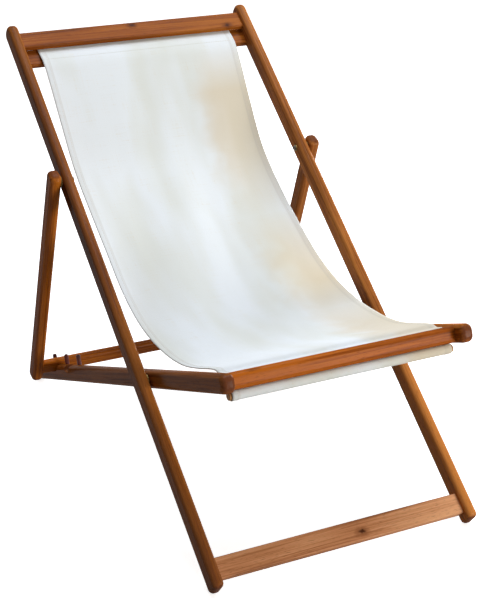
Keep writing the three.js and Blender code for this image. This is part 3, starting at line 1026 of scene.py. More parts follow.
def turned_piece(name: str, profile: Sequence[Pair], sides: int, material: Material | None) -> Thing:
    """Turns a profile about Z into a closed mesh.

    Args:
        name: Name of the object.
        profile: Radius and height in millimetres, from the bottom up. It starts and ends at radius 0.
        sides: Number of faces round it.
        material: Its material.

    Returns:
        The turned piece.
    """
    vertices = [around(0.0, 0.0, profile[0][1])]
    for radius, height in profile[1:-1]:
        vertices += [around(radius, math.tau * side / sides, height) for side in range(sides)]
    vertices.append(around(0.0, 0.0, profile[-1][1]))
    last = len(vertices) - 1
    rows = len(profile) - 2
    faces: list[tuple[int, ...]] = []
    for side in range(sides):
        after = (side + 1) % sides
        faces.append((0, 1 + after, 1 + side))
        for row in range(rows - 1):
            low, high = 1 + row * sides, 1 + (row + 1) * sides
            faces.append((low + side, low + after, high + after, high + side))
        top = 1 + (rows - 1) * sides
        faces.append((top + side, top + after, last))
    thing = new_object(name, vertices, faces, material)
    outward(thing)
    return thing


# Repeated pieces


class Repeats:
    """Geometry Nodes trees that put copies of a piece at marked places or along seams."""

    @staticmethod
    def new_tree(name: str, inputs: dict[str, str]) -> tuple[Tree, bpy.types.bpy_prop_collection]:
        """Makes a tree that takes and gives a mesh.

        Args:
            name: Name of the tree.
            inputs: Names of its other inputs with their kinds.

        Returns:
            The tree and what it is given.
        """
        tree = bpy.data.node_groups.new(name, "GeometryNodeTree")
        for socket, kind in {"Geometry": "Geometry", **inputs}.items():
            tree.interface.new_socket(socket, in_out="INPUT", socket_type=f"NodeSocket{kind}")
        tree.interface.new_socket("Geometry", in_out="OUTPUT", socket_type="NodeSocketGeometry")
        return tree, add_node(tree, "NodeGroupInput").outputs

    @staticmethod
    def end_tree(tree: Tree, material: Socket, **inputs: object) -> None:
        """Puts copies on points, gives them their material and ends the tree.

        Args:
            tree: Tree to end.
            material: Material of the copies.
            inputs: Inputs of the node that puts the copies on points.
        """
        copies = add_node(tree, "GeometryNodeInstanceOnPoints", **inputs).outputs["Instances"]
        real = add_node(tree, "GeometryNodeRealizeInstances", Geometry=copies).outputs["Geometry"]
        painted = add_node(tree, "GeometryNodeSetMaterial", Geometry=real, Material=material)
        add_node(tree, "NodeGroupOutput", Geometry=painted.outputs["Geometry"])

    @staticmethod
    def at_places() -> Tree:
        """Builds the tree that puts one turned piece on each vertex of a mesh.

        Returns:
            The tree, with the inputs Piece, Turn and Material.
        """
        kinds = {"Piece": "Object", "Turn": "Vector", "Material": "Material"}
        tree, given = Repeats.new_tree("pieces_at_places", kinds)
        piece = add_node(tree, "GeometryNodeObjectInfo", Object=given["Piece"]).outputs["Geometry"]
        points, turn = given["Geometry"], given["Turn"]
        Repeats.end_tree(tree, given["Material"], Points=points, Instance=piece, Rotation=turn)
        return tree

    @staticmethod
    def along_seam() -> Tree:
        """Builds the tree that sews stitches along the edges of a mesh.

        Returns:
            The tree, with the inputs Pitch, Stitch Length, Thread Width, Slant, Material and Seed.
        """
        numbers = ("Pitch", "Stitch Length", "Thread Width", "Slant")
        kinds = {**dict.fromkeys(numbers, "Float"), "Material": "Material", "Seed": "Int"}
        tree, given = Repeats.new_tree("stitches_along_seam", kinds)
        seam = add_node(tree, "GeometryNodeMeshToCurve", Mesh=given["Geometry"]).outputs[0]
        spots = add_node(
            tree, "GeometryNodeCurveToPoints", {"mode": "LENGTH"}, Curve=seam, Length=given["Pitch"]
        ).outputs
        thread = add_node(tree, "GeometryNodeMeshUVSphere", Segments=6, Rings=4, Radius=0.5).outputs["Mesh"]
        slant = add_node(
            tree,
            "FunctionNodeRandomValue",
            {"data_type": "FLOAT"},
            i2=calc(tree, "MULTIPLY", given["Slant"], -1.0),
            i3=given["Slant"],
            Seed=given["Seed"],
        ).outputs[1]
        leaned = add_node(
            tree,
            "FunctionNodeRotateRotation",
            {"rotation_space": "LOCAL"},
            Rotation=spots["Rotation"],
            Rotate_By=add_node(tree, "ShaderNodeCombineXYZ", Z=slant).outputs[0],
        ).outputs[0]
        width = given["Thread Width"]
        size = add_node(tree, "ShaderNodeCombineXYZ", X=width, Y=width, Z=given["Stitch Length"]).outputs[0]
        Repeats.end_tree(
            tree, given["Material"], Points=spots["Points"], Instance=thread, Rotation=leaned, Scale=size
        )
        return tree

    @staticmethod
    def run(thing: Thing, tree: Tree, inputs: dict[str, object]) -> Thing:
        """Runs a tree on an object and keeps the result as its plain mesh.

        Args:
            thing: Object whose mesh goes into the tree.
            tree: Tree to run.
            inputs: Values by the names of the tree's inputs.

        Returns:
            The same object with the tree's result.
        """
        modifier = thing.modifiers.new("repeat", "NODES")
        modifier.node_group = tree
        for item in tree.interface.items_tree:
            if item.in_out == "INPUT" and item.name in inputs:
                modifier[item.identifier] = inputs[item.name]
        applied(thing)
        return thing


def places_object(name: str, places: Sequence[Vector]) -> Thing:
    """Makes an object that holds only vertices at places, in metres."""
    return new_object(name, places, [], smooth=False)


# Sub-assemblies


@dataclass
class BackFrame:
    """Two long back legs with the top slats, the foot board and the dowel of the sling's top pocket."""

    plan: ChairPlan
    body: str = "back_frame"
    slat_height: float = 40.0
    slat_thickness: float = 12.0
    front_slat_along: float = 1210.0
    front_slat_off: float = 3.0
    rear_slat_along: float = 1175.0
    rear_slat_off: float = -11.5
    foot_along: float = 36.0
    foot_height: float = 40.0
    foot_thickness: float = 16.0
    slat_edge: float = 3.0
    tenon: float = 5.0
    foot_knots: tuple[Pair, ...] = ((38.0, -4.5),)
    slat_knots: tuple[Pair, ...] = ((-2.0, 12.0), (214.0, -13.0))

    def build(self) -> list[Thing]:
        """Builds and dresses the boards of the back frame.

        Returns:
            The pieces.
        """
        plan = self.plan

        def knots(places: Sequence[Pair], along: float, off: float) -> tuple[Triple, ...]:
            """Places in the chair of knots on the face of a crossbar."""
            return tuple((x, *plan.back_line.at(along + rise, off)) for x, rise in places)

        slat_wood = VarnishedHardwood(
            "Varnished hardwood, top slats",
            Grain.CROSSBAR,
            Tone.SLAT,
            knots=knots(self.slat_knots, self.front_slat_along, self.front_slat_off + self.slat_thickness / 2),
            knot_radius=7.0,
            seed=7.7,
        ).build()
        foot_wood = VarnishedHardwood(
            "Varnished hardwood, foot board",
            Grain.CROSSBAR,
            Tone.FOOT_BOARD,
            vein_share=0.2,
            knots=knots(self.foot_knots, self.foot_along, self.foot_thickness / 2),
            knot_radius=8.0,
            seed=12.4,
        ).build()
        pieces = BoardPair(
            "back leg",
            self.body,
            plan.back_line,
            plan.back_leg_x,
            0.0,
            plan.back_leg_length,
            plan.back_leg_depth,
            plan.back_leg_width,
            plan.back_leg_foot_radius,
            plan.back_leg_top_radius,
            Grain.BACK_LEG,
            # Left board darker: partly its own tone, partly painted shade
            (Tone.DEEP, Tone.PALE),
            3.1,
        ).build()
        reach = plan.back_leg_x - plan.back_leg_width / 2 + self.tenon
        slat = (self.slat_height, self.slat_thickness)
        foot = (self.foot_height, self.foot_thickness)
        for node, along, off, section, wood in (
            ("top_front_slat", self.front_slat_along, self.front_slat_off, slat, slat_wood),
            ("top_rear_slat", self.rear_slat_along, self.rear_slat_off, slat, slat_wood),
            ("foot_board", self.foot_along, 0.0, foot, foot_wood),
        ):
            bar = Crossbar(f"{node}_bar", plan.back_line, along, off, *section, self.slat_edge, reach)
            pieces.append(bar.build(wood, self.body, node))
        return pieces


@dataclass
class SeatFrame:
    """Two notched rails with the seat bars, and six turned pegs that keep the prop bar in its notches."""

    plan: ChairPlan
    body: str = "seat_frame"
    bar_height: float = 30.0
    bar_thickness: float = 20.0
    bar_edge: float = 6.0
    front_bar_reach: float = 305.0
    rear_bar_reach: float = 275.0
    rear_bar_drop: float = 3.0
    front_bar_edge: float = 9.0
    tenon: float = 5.0
    notch_radius: float = 15.68
    notch_count: int = 3
    notch_sides: int = 64
    peg_ahead_of_notch: float = 38.0
    peg_radius: float = 4.5
    peg_height: float = 22.0
    peg_depth: float = 16.0
    peg_inset: float = 6.0
    peg_taper: float = 0.15
    peg_taper_length: float = 7.0
    peg_dome: float = 3.2
    peg_sides: int = 24
    dome_steps: int = 6

    def notch_places(self) -> list[float]:
        """Where the notches lie along the rail."""
        plan = self.plan
        middle = (self.notch_count - 1) / 2
        return [plan.notch_along + plan.notch_pitch * (i - middle) for i in range(self.notch_count)]

    def notch_cutter(self, x: float, along: float) -> Thing:
        """Round bar that cuts one notch.

        Args:
            x: Middle of the rail.
            along: Where the notch lies along the rail.

        Returns:
            The cutter.
        """
        plan, radius = self.plan, self.notch_radius
        reach = plan.rail_width / 2 + plan.layer_gap
        angles = [math.tau * step / self.notch_sides for step in range(self.notch_sides)]
        rings = [
            [
                plan.rail_line.point(
                    x + end, along + radius * math.cos(a), plan.notch_centre_height + radius * math.sin(a)
                )
                for a in angles
            ]
            for end in (-reach, reach)
        ]
        return skinned("notch_cutter", rings, None)

    def build(self) -> list[Thing]:
        """Builds and dresses the boards and pegs of the seat frame.

        Returns:
            The pieces.
        """
        plan = self.plan
        bar_wood = VarnishedHardwood(
            "Varnished hardwood, seat bars", Grain.CROSSBAR, Tone.SEAT_BAR, vein_share=0.18, seed=30.9
        ).build()
        pieces = BoardPair(
            "seat rail",
            self.body,
            plan.rail_line,
            plan.rail_x,
            -plan.rail_nose_reach,
            plan.rail_tail_reach,
            plan.rail_depth,
            plan.rail_width,
            plan.rail_nose_radius,
            plan.rail_tail_radius,
            Grain.SEAT_RAIL,
            # Left board darker: partly its own tone, partly painted shade
            (Tone.DEEP, Tone.EVEN),
            21.3,
        ).build(lambda x: [self.notch_cutter(x, along) for along in self.notch_places()])
        reach = plan.rail_x - plan.rail_width / 2 + self.tenon
        rail = plan.rail_line
        across = Line(rail.origin_y, rail.origin_z, rail.angle + math.pi / 2)
        for node, along, off, edge in (
            ("seat_front_bar", 0.0, self.front_bar_reach, self.front_bar_edge),
            ("seat_rear_bar", -self.rear_bar_drop, self.rear_bar_reach, self.bar_edge),
        ):
            size = (self.bar_height, self.bar_thickness, edge, reach)
            pieces.append(Crossbar(f"{node}_board", across, along, off, *size).build(bar_wood, self.body, node))
        pieces.append(self.build_pegs())
        return pieces

    def build_pegs(self) -> Thing:
        """Turns one peg and puts it in its six holes.

        Returns:
            The pegs as one piece.
        """
        plan = self.plan
        wood = TurnedWood("Dark turned hardwood, pegs", light="#5E2217", dark="#32100B", coat=0.05).build()
        low = plan.rail_depth / 2 - self.peg_depth
        tip = plan.rail_depth / 2 + self.peg_height
        radius, dome = self.peg_radius, self.peg_dome
        neck = radius - self.peg_taper
        profile = [(0.0, low), (radius, low), (radius, tip - self.peg_taper_length), (neck, tip - dome)]
        profile += [(neck * cosine, tip - dome + dome * sine) for cosine, sine in quarter(self.dome_steps, 1)]
        profile[-1] = (0.0, tip)
        peg = turned_piece("peg_pattern", profile, self.peg_sides, wood)
        spots = [
            plan.rail_line.point(sign * (plan.rail_x - self.peg_inset), along - self.peg_ahead_of_notch)
            for sign in (-1, 1)
            for along in self.notch_places()
        ]
        pegs = places_object("seat_rail_pegs", spots)
        pegs.data.materials.append(wood)
        turn = (plan.rail_line.angle, 0.0, 0.0)
        Repeats.run(pegs, Repeats.at_places(), {"Piece": peg, "Turn": turn, "Material": wood})
        bpy.data.objects.remove(peg)
        nodes = [f"{side}_{place}_peg" for side in SIDES for place in ("front", "middle", "rear")]
        return dressed(pegs, self.body, "dark_wood", *nodes)


@dataclass
class StrutFrame:
    """Two struts outside the back legs with the prop bar between them."""

    plan: ChairPlan
    body: str = "strut_frame"
    bar_height: float = 30.0
    bar_thickness: float = 20.0
    bar_edge: float = 8.0
    tenon: float = 5.0

    def build(self) -> list[Thing]:
        """Builds and dresses the boards of the strut frame.

        Returns:
            The pieces.
        """
        plan = self.plan
        bar_wood = VarnishedHardwood("Varnished hardwood, prop bar", Grain.CROSSBAR, seed=52.2).build()
        pieces = BoardPair(
            "strut",
            self.body,
            plan.strut_line,
            plan.strut_x,
            -plan.strut_head_reach,
            plan.strut_tail_reach,
            plan.strut_depth,
            plan.strut_width,
            plan.strut_end_radius,
            plan.strut_end_radius,
            Grain.STRUT,
            # Left board darker: partly its own tone, partly painted shade
            (Tone.EVEN, Tone.PALE),
            41.7,
        ).build()
        reach = plan.strut_x - plan.strut_width / 2 + self.tenon
        size = (self.bar_height, self.bar_thickness, self.bar_edge, reach)
        bar = Crossbar("prop_bar_rod", plan.strut_line, plan.prop_bar_along, 0.0, *size)
        pieces.append(bar.build(bar_wood, self.body, "prop_bar"))
        return pieces


@dataclass
class PivotHardware:
    """Socket-head bolts in dished cup washers at the four pivots, with spacers and inserts."""

    plan: ChairPlan
    head_radius: float = 5.0
    head_height: float = 2.4
    socket_radius: float = 2.0
    socket_depth: float = 1.2
    cup_radius: float = 7.0
    head_edge: float = 1.1
    head_edge_steps: int = 4
    head_clearance: float = 0.02
    cup_thickness: float = 1.6
    cup_bore: float = 4.4
    cup_edge: float = 0.35
    # Steps over the rim into the dish: how far in from the outer edge, and how high
    cup_rim: tuple[Pair, ...] = ((0.3, -0.3), (0.8, 0.0), (1.5, -0.2), (1.9, -0.45))
    joint_gap: float = 0.3
    sides: int = 36

    def bolt_pattern(self) -> Thing:
        """Head of one bolt with its hexagon socket, its face at height 0 and turned up.

        Returns:
            The bolt head.
        """
        radius, edge = self.head_radius, self.head_edge
        foot = -self.head_height + self.head_clearance
        profile = [(0.0, foot), (radius, foot), (radius, -edge)]
        rounding = quarter(self.head_edge_steps, 1)
        profile += [(radius - edge + edge * cosine, -edge + edge * sine) for cosine, sine in rounding]
        profile.append((0.0, 0.0))
        head = turned_piece("bolt_pattern", profile, self.sides, None)
        hexagon = [
            [around(self.socket_radius, math.radians(60 * corner), end) for corner in range(6)]
            for end in (-self.socket_depth, 1.0)
        ]
        return cut_away(head, [skinned("socket_cutter", hexagon, None)])

    def cup_pattern(self) -> Thing:
        """One dished cup washer, its rim at height 0 and its face turned up.

        Returns:
            The washer.
        """
        outer, foot, sides = self.cup_radius, -self.cup_thickness, self.sides
        section = [(self.cup_bore, foot), (outer, foot), (outer, foot + self.cup_edge)]
        section += [(outer - inset, height) for inset, height in self.cup_rim]
        section.append((self.cup_bore, section[-1][1]))
        vertices = [around(r, math.tau * side / sides, h) for r, h in section for side in range(sides)]
        rounds = quads(len(section) + 1, sides, True)
        faces = [tuple(number % len(vertices) for number in face) for face in rounds]
        cup = new_object("cup_pattern", vertices, faces)
        outward(cup)
        return cup

    def build(self) -> list[Thing]:
        """Puts bolts and cups at the pivots and dresses the spacers and inserts of the frame.

        Returns:
            The new pieces.
        """
        plan = self.plan
        steel = TurnedMetal("Plated steel, turned", bright="#77716A", dull="#4B463F").build()
        brass = TurnedMetal("Brass, turned and dulled", bright="#8F7647", dull="#5E4A2B").build()
        tree = Repeats.at_places()
        bolt, cup = self.bolt_pattern(), self.cup_pattern()
        cup_face = self.joint_gap + self.cup_thickness
        bolt_face = cup_face + self.joint_gap * 2 + self.head_height
        pieces = []
        for pivot, body, height, inner in (
            ("seat_pivot", "back_frame", plan.seat_pivot_height, plan.rail_x - plan.rail_width / 2),
            ("strut_pivot", "strut_frame", plan.strut_pivot_height, plan.back_leg_x - plan.back_leg_width / 2),
        ):
            for kind, pattern, depth, finish, slot in (
                ("bolt", bolt, bolt_face, steel, "steel"),
                ("cup", cup, cup_face, brass, "brass"),
            ):
                for side, sign in zip(SIDES, (-1, 1)):
                    node = f"{side}_{pivot}_{kind}"
                    piece = places_object(f"{node}s", [plan.back_line.point(sign * (inner - depth), height)])
                    piece.data.materials.append(finish)
                    turn = (0.0, math.radians(-90 * sign), 0.0)
                    Repeats.run(piece, tree, {"Piece": pattern, "Turn": turn, "Material": finish})
                    pieces.append(dressed(piece, body, slot, node, sharp_degrees=30.0))
        bpy.data.objects.remove(bolt)
        bpy.data.objects.remove(cup)
        for name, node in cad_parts.items():
            if name.endswith(("_spacer", "_insert")):
                node.data.materials.clear()
                node.data.materials.append(brass)
        return pieces


@dataclass
class Sling:
    """One piece of canvas with a pocket round a dowel at each end, hemmed along both sides."""

    plan: ChairPlan
    back: BackFrame
    seat: SeatFrame
    top_width: float = 438.0
    front_width: float = 433.0
    width_wave: float = 11.5
    wave_lateness: float = 1.3
    thickness: float = 1.0
    solid_thickness: float = 1.2
    cloth_gap: float = 0.5
    dowel_radius: float = 7.5
    dowel_overhang: float = 5.0
    dowel_chamfer: tuple[Pair, ...] = ((0.0, 1.2), (0.5, 0.45), (1.4, 0.0))
    fold_height: float = 3.0
    fold_waves: float = 2.0
    cross_sag: float = 7.0
    pocket_turn_share: float = 0.83
    hem_width: float = 13.0
    hem_layers: float = 1.6
    plain_share: float = 0.62
    stitch_inset: float = 10.5
    stitch_pitch: float = 4.2
    stitch_share: float = 0.72
    stitch_slant: float = 0.06
    stitch_lift: float = 0.05
    stitch_seed: int = 11
    thread_width: float = 0.7
    pocket_seam: float = 26.0
    seam_lift_share: float = 0.8
    pocket_seam_share: float = 0.985
    back_hold: Pair = (160.0, -30.0)
    seat_hold: Pair = (-240.0, 20.0)
    pocket_steps: int = 40
    turn_steps: int = 8
    dowel_sides: int = 48
    rows: int = 300
    columns: int = 120
    back_shares: tuple[Pair, ...] = (
        (0.975, 0.001), (0.92, -0.011), (0.8, -0.046), (0.668, -0.08), (0.518, -0.083),
        (0.385, -0.067), (0.278, -0.048), (0.167, -0.011), (0.089, 0.031),
    )
    seat_shares: tuple[Pair, ...] = (
        (-0.164, 0.144), (-0.282, 0.108), (-0.426, 0.079), (-0.59, 0.069), (-0.82, 0.062),
    )
    # Soft creases: width, length, length in which they lean over by their width, seed and height
    creases: tuple[tuple[float, float, float, float, float], ...] = (
        (130.0, 330.0, math.inf, 3.7, 4.5), (52.0, 420.0, 700.0, 9.1, 1.6), (26.0, 110.0, math.inf, 1.3, 0.4),
    )
    crease_fade: float = 0.7
    line: list[Triple] = field(default_factory=list)

    @property
    def cloth_reach(self) -> float:
        """Distance of the cloth's middle from what it lies on."""
        return self.cloth_gap + self.solid_thickness / 2

    @property
    def pocket_radius(self) -> float:
        """Radius of the cloth's middle round a dowel."""
        return self.dowel_radius + self.cloth_reach

    def top_dowel(self) -> Pair:
        """Middle of the dowel behind the top slats."""
        back = self.back
        along = back.rear_slat_along + back.slat_height / 2 + self.cloth_reach + self.pocket_radius
        off = back.front_slat_off - back.slat_thickness / 2 - self.cloth_reach - self.pocket_radius
        return self.plan.back_line.at(along, off)

    def front_dowel(self) -> Pair:
        """Middle of the dowel under the seat's front bar."""
        seat = self.seat
        along = -(seat.rear_bar_reach + seat.bar_thickness / 2 + self.cloth_reach) - self.pocket_radius
        off = -seat.bar_height / 2 - self.cloth_reach - self.pocket_radius
        return self.plan.rail_line.at(along, off)

    @staticmethod
    def arc(centre: Pair, radius: float, start: float, end: float, count: int) -> list[Pair]:
        """Points of an arc.

        Args:
            centre: Its middle in the side plane.
            radius: Its radius.
            start: Angle of its first point.
            end: Angle of its last point.
            count: Pieces in the arc.

        Returns:
            The points, both ends included.
        """
        angles = [start + (end - start) * i / count for i in range(count + 1)]
        return [(centre[0] + radius * math.cos(a), centre[1] + radius * math.sin(a)) for a in angles]

    @staticmethod
    def smooth_curve(points: Sequence[Pair], count: int, fineness: int = 60) -> list[Pair]:
        """Evenly spaced points of a centripetal curve through given points.

        Args:
            points: Points that the curve goes through.
            count: Pieces to cut it into.
            fineness: Short chords between two given points.

        Returns:
            The spaced points, both ends included.
        """
        given = [Vector(p) for p in points]
        ends = [given[0] * 2 - given[1], *given, given[-1] * 2 - given[-2]]
        dense: list[Vector] = []
        for i in range(len(given) - 1):
            a, b, c, d = ends[i : i + 4]
            first, second, third = ((b - a).length ** 0.5, (c - b).length ** 0.5, (d - c).length ** 0.5)
            start = ((b - a) / first - (c - a) / (first + second) + (c - b) / second) * second
            end = ((c - b) / second - (d - b) / (second + third) + (d - c) / third) * second
            for step in range(fineness):
                t = step / fineness
                dense.append(
                    b
                    + start * t
                    + (c * 3 - b * 3 - start * 2 - end) * t**2
                    + (b * 2 - c * 2 + start + end) * t**3
                )
        dense.append(given[-1])
        reach = [0.0]
        for before, after in zip(dense, dense[1:]):
            reach.append(reach[-1] + (after - before).length)
        spaced, k = [], 0
        for i in range(count + 1):
            want = reach[-1] * i / count
            while k < len(dense) - 2 and reach[k + 1] < want:
                k += 1
            share = (want - reach[k]) / max(reach[k + 1] - reach[k], 1e-9)
            spaced.append(tuple(dense[k].lerp(dense[k + 1], min(share, 1.0))))
        return spaced

    def lay_line(self) -> list[Triple]:
        """Lays the cloth's middle line from the top pocket's end to the front pocket's end.

        Returns:
            Y, Z and the share of the free span that is passed, row by row.
        """
        plan, back, seat = self.plan, self.back, self.seat
        back_line, rail_line = plan.back_line, plan.rail_line
        turn = math.tau * self.pocket_turn_share
        sewn = back_line.angle + math.pi
        top = self.arc(self.top_dowel(), self.pocket_radius, sewn + turn, sewn, self.pocket_steps)
        slat_turn = self.arc(
            back_line.at(
                back.rear_slat_along + back.slat_height / 2 - back.slat_edge,
                back.rear_slat_off + back.slat_thickness / 2 - back.slat_edge,
            ),
            back.slat_edge + self.cloth_reach,
            back_line.angle,
            back_line.angle + math.pi / 2,
            self.turn_steps,
        )
        bar_off = seat.bar_height / 2 - seat.rear_bar_drop - seat.bar_edge
        bar_radius = seat.bar_edge + self.cloth_reach
        bar_turn = self.arc(
            rail_line.at(-(seat.rear_bar_reach + seat.bar_thickness / 2 - seat.bar_edge), bar_off),
            bar_radius,
            rail_line.angle + math.pi / 2,
            rail_line.angle + math.pi,
            self.turn_steps,
        )
        front = self.arc(
            self.front_dowel(), self.pocket_radius, rail_line.angle, rail_line.angle - turn, self.pocket_steps
        )
        span, lap = back.rear_slat_along - plan.seat_pivot_height, seat.front_bar_reach
        hanging = [
            slat_turn[-1],
            *(back_line.at(plan.seat_pivot_height + a * span, sag * span) for a, sag in self.back_shares),
            *(rail_line.at(a * lap, rise * lap) for a, rise in self.seat_shares),
            rail_line.at(-seat.rear_bar_reach + seat.bar_thickness / 2, bar_off + bar_radius),
            bar_turn[0],
        ]
        free = self.smooth_curve(hanging, self.rows)
        line = [(y, z, 0.0) for y, z in top + slat_turn[:-1]]
        line += [(y, z, i / self.rows) for i, (y, z) in enumerate(free)]
        line += [(y, z, 1.0) for y, z in bar_turn[1:] + front]
        return line

    def normal(self, row: int) -> Pair:
        """Direction out of the cloth, away from the sitter, at a row."""
        before = self.line[max(row - 1, 0)]
        after = self.line[min(row + 1, len(self.line) - 1)]
        length = math.hypot(after[0] - before[0], after[1] - before[1])
        return (before[1] - after[1]) / length, (after[0] - before[0]) / length

    def width_at(self, share: float) -> float:
        """Width of the cloth at a share of the free span: drawn in over the back, spread over the lap."""
        even = self.top_width + (self.front_width - self.top_width) * share
        return even - self.width_wave * math.sin(math.tau * share**self.wave_lateness)

    def crease(self, across: float, share: float) -> float:
        """Height of the soft creases, in millimetres.

        Args:
            across: Place across the cloth, from -1 to 1.
            share: Share of the free span.

        Returns:
            The height off the hanging form.
        """
        x = across * self.width_at(share) / 2
        y = share * 1000
        heights = [
            noise.noise(Vector((x / width + y / lean, y / length, seed))) * height
            for width, length, lean, seed, height in self.creases
        ]
        return sum(heights) * math.sin(math.pi * share) ** self.crease_fade

    def cloth_point(self, row: int, across: float, lift: float = 0.0) -> Vector:
        """Place on the cloth's middle surface.

        Args:
            row: Row of the cloth's line.
            across: Place across the cloth, from -1 to 1.
            lift: Distance towards the sitter, in millimetres.

        Returns:
            The place in metres.
        """
        y, z, share = self.line[row]
        out_y, out_z = self.normal(row)
        hang = math.sin(math.pi * share)
        sag = self.cross_sag * hang**3 * (1 - across**2)
        fold = self.fold_height * hang**3 * math.sin(math.pi * self.fold_waves * (across + share * 2))
        off = sag + fold + self.crease(across, share) - lift
        x = across * self.width_at(share) / 2
        return Vector((x, y + out_y * off, z + out_z * off)) * MM

    def build(self) -> list[Thing]:
        """Builds the cloth, its seams and its two dowels.

        Returns:
            The pieces.
        """
        self.line = self.lay_line()
        canvas = WovenCanvas().build()
        rows, columns = len(self.line), self.columns + 1
        vertices = [
            self.cloth_point(row, column / self.columns * 2 - 1)
            for row in range(rows)
            for column in range(columns)
        ]
        cloth = new_object("sling_cloth", vertices, quads(rows, columns, False), canvas)
        reach = [0.0]
        for before, after in zip(self.line, self.line[1:]):
            reach.append(reach[-1] + math.hypot(after[0] - before[0], after[1] - before[1]))
        widths = [self.width_at(share) for _, _, share in self.line]
        layer = cloth.data.uv_layers.new(name="cloth")
        for loop in cloth.data.loops:
            row, column = divmod(loop.vertex_index, columns)
            layer.data[loop.index].uv = ((column / self.columns - 0.5) * widths[row] * MM, reach[row] * MM)
        hem = cloth.vertex_groups.new(name="hem")
        edges = [
            (1 - abs(column / self.columns * 2 - 1)) * widths[row] / 2
            for row in range(rows)
            for column in range(columns)
        ]
        for number, edge in enumerate(edges):
            hem.add([number], 1.0 if edge <= self.hem_width else self.plain_share, "REPLACE")
        edge_distance = cloth.data.attributes.new("edge_distance", "FLOAT", "POINT")
        edge_distance.data.foreach_set("value", [edge * MM for edge in edges])
        skin = cloth.modifiers.new("skin", "SOLIDIFY")
        skin.thickness = self.thickness * self.hem_layers * MM
        skin.offset = 0.0
        skin.vertex_group = "hem"
        skin.use_even_offset = False
        applied(cloth)
        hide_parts("canvas_sling")
        stitches = self.build_stitches(reach)
        start, end = self.hold_places()
        for piece in (cloth, stitches):
            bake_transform(piece)
        dowels = self.build_dowels()
        return [cloth, stitches, *dowels]

    def hold_places(self) -> tuple[Vector, Vector]:
        """Where the cloth leaves the hold of the back frame and where the seat frame has it."""
        plan, (along, off) = self.plan, self.back_hold
        start = plan.back_line.point(0.0, plan.seat_pivot_height + along, off)
        return start, plan.rail_line.point(0.0, *self.seat_hold)

    def build_stitches(self, reach: Sequence[float]) -> Thing:
        """Sews the side hems and the two pockets.

        Args:
            reach: Length of the cloth passed at each row, in millimetres.

        Returns:
            The stitches as one piece.
        """
        thread = SewingThread().build()
        vertices: list[Vector] = []
        edges: list[tuple[int, int]] = []
        lift = self.thickness * self.hem_layers / 2 + self.stitch_lift
        for face in (1, -1):
            for sign in (-1, 1):
                start = len(vertices)
                for row in range(len(self.line)):
                    half = self.width_at(self.line[row][2]) / 2
                    vertices.append(self.cloth_point(row, sign * (1 - self.stitch_inset / half), lift * face))
                edges += [(i, i + 1) for i in range(start, len(vertices) - 1)]
            for row in self.pocket_rows(reach):
                start = len(vertices)
                for column in range(self.columns + 1):
                    across = (column / self.columns * 2 - 1) * self.pocket_seam_share
                    vertices.append(self.cloth_point(row, across, lift * face * self.seam_lift_share))
                edges += [(i, i + 1) for i in range(start, len(vertices) - 1)]
        seam = new_object("sling_stitches", [], [], smooth=False)
        seam.data.from_pydata([tuple(v) for v in vertices], edges, [])
        seam.data.materials.append(thread)
        Repeats.run(
            seam,
            Repeats.along_seam(),
            {
                "Pitch": self.stitch_pitch * MM,
                "Stitch Length": self.stitch_pitch * self.stitch_share * MM,
                "Thread Width": self.thread_width * MM,
                "Slant": self.stitch_slant,
                "Material": thread,
                "Seed": self.stitch_seed,
            },
        )
        seam.data.shade_smooth()
        return seam

    def pocket_rows(self, reach: Sequence[float]) -> list[int]:
        """Rows where the pockets are sewn down."""
        free = [i for i, (_, _, share) in enumerate(self.line) if 0.0 < share < 1.0]
        wants = (reach[free[0]] + self.pocket_seam, reach[free[-1]] + self.pocket_seam)
        return [min(range(len(reach)), key=lambda i, w=want: abs(reach[i] - w)) for want in wants]

    def build_dowels(self) -> list[Thing]:
        """Builds the dowels in the two pockets.

        Returns:
            The dowels.
        """
        wood = TurnedWood("Sanded hardwood dowel", "#B98D5C", "#94683B", roughness=0.55, coat=0.0).build()
        pieces = []
        for node, centre, width, body in (
            ("top_sling_dowel", self.top_dowel(), self.top_width, "back_frame"),
            ("front_sling_dowel", self.front_dowel(), self.front_width, "seat_frame"),
        ):
            reach = width / 2 + self.dowel_overhang
            ends = [(-reach + step, self.dowel_radius - cut) for step, cut in self.dowel_chamfer]
            rings = []
            for x, radius in ends + [(-x, radius) for x, radius in reversed(ends)]:
                circle = self.arc(centre, radius, 0.0, math.tau, self.dowel_sides)[:-1]
                rings.append([Vector((x, y, z)) * MM for y, z in circle])
            pieces.append(dressed(skinned(f"{node}_rod", rings, wood), body, "pale_wood", node))
        return pieces


# Studio


@dataclass(frozen=True)
class Softbox:
    """A square lamp: its place, what it points at and its side in metres, its power in watts."""

    name: str
    place: Triple
    aim: Triple
    side: float
    power: float
    colour: str

    def build(self) -> None:
        """Hangs the lamp and points it."""
        lamp = bpy.data.lights.new(self.name, "AREA")
        lamp.shape = "SQUARE"
        lamp.size = self.side
        lamp.energy = self.power
        lamp.color = linear(self.colour)[:3]
        holder = bpy.data.objects.new(self.name, lamp)
        holder.location = self.place
        holder.rotation_euler = (Vector(self.place) - Vector(self.aim)).to_track_quat("Z", "Y").to_euler()
        bpy.context.scene.collection.objects.link(holder)


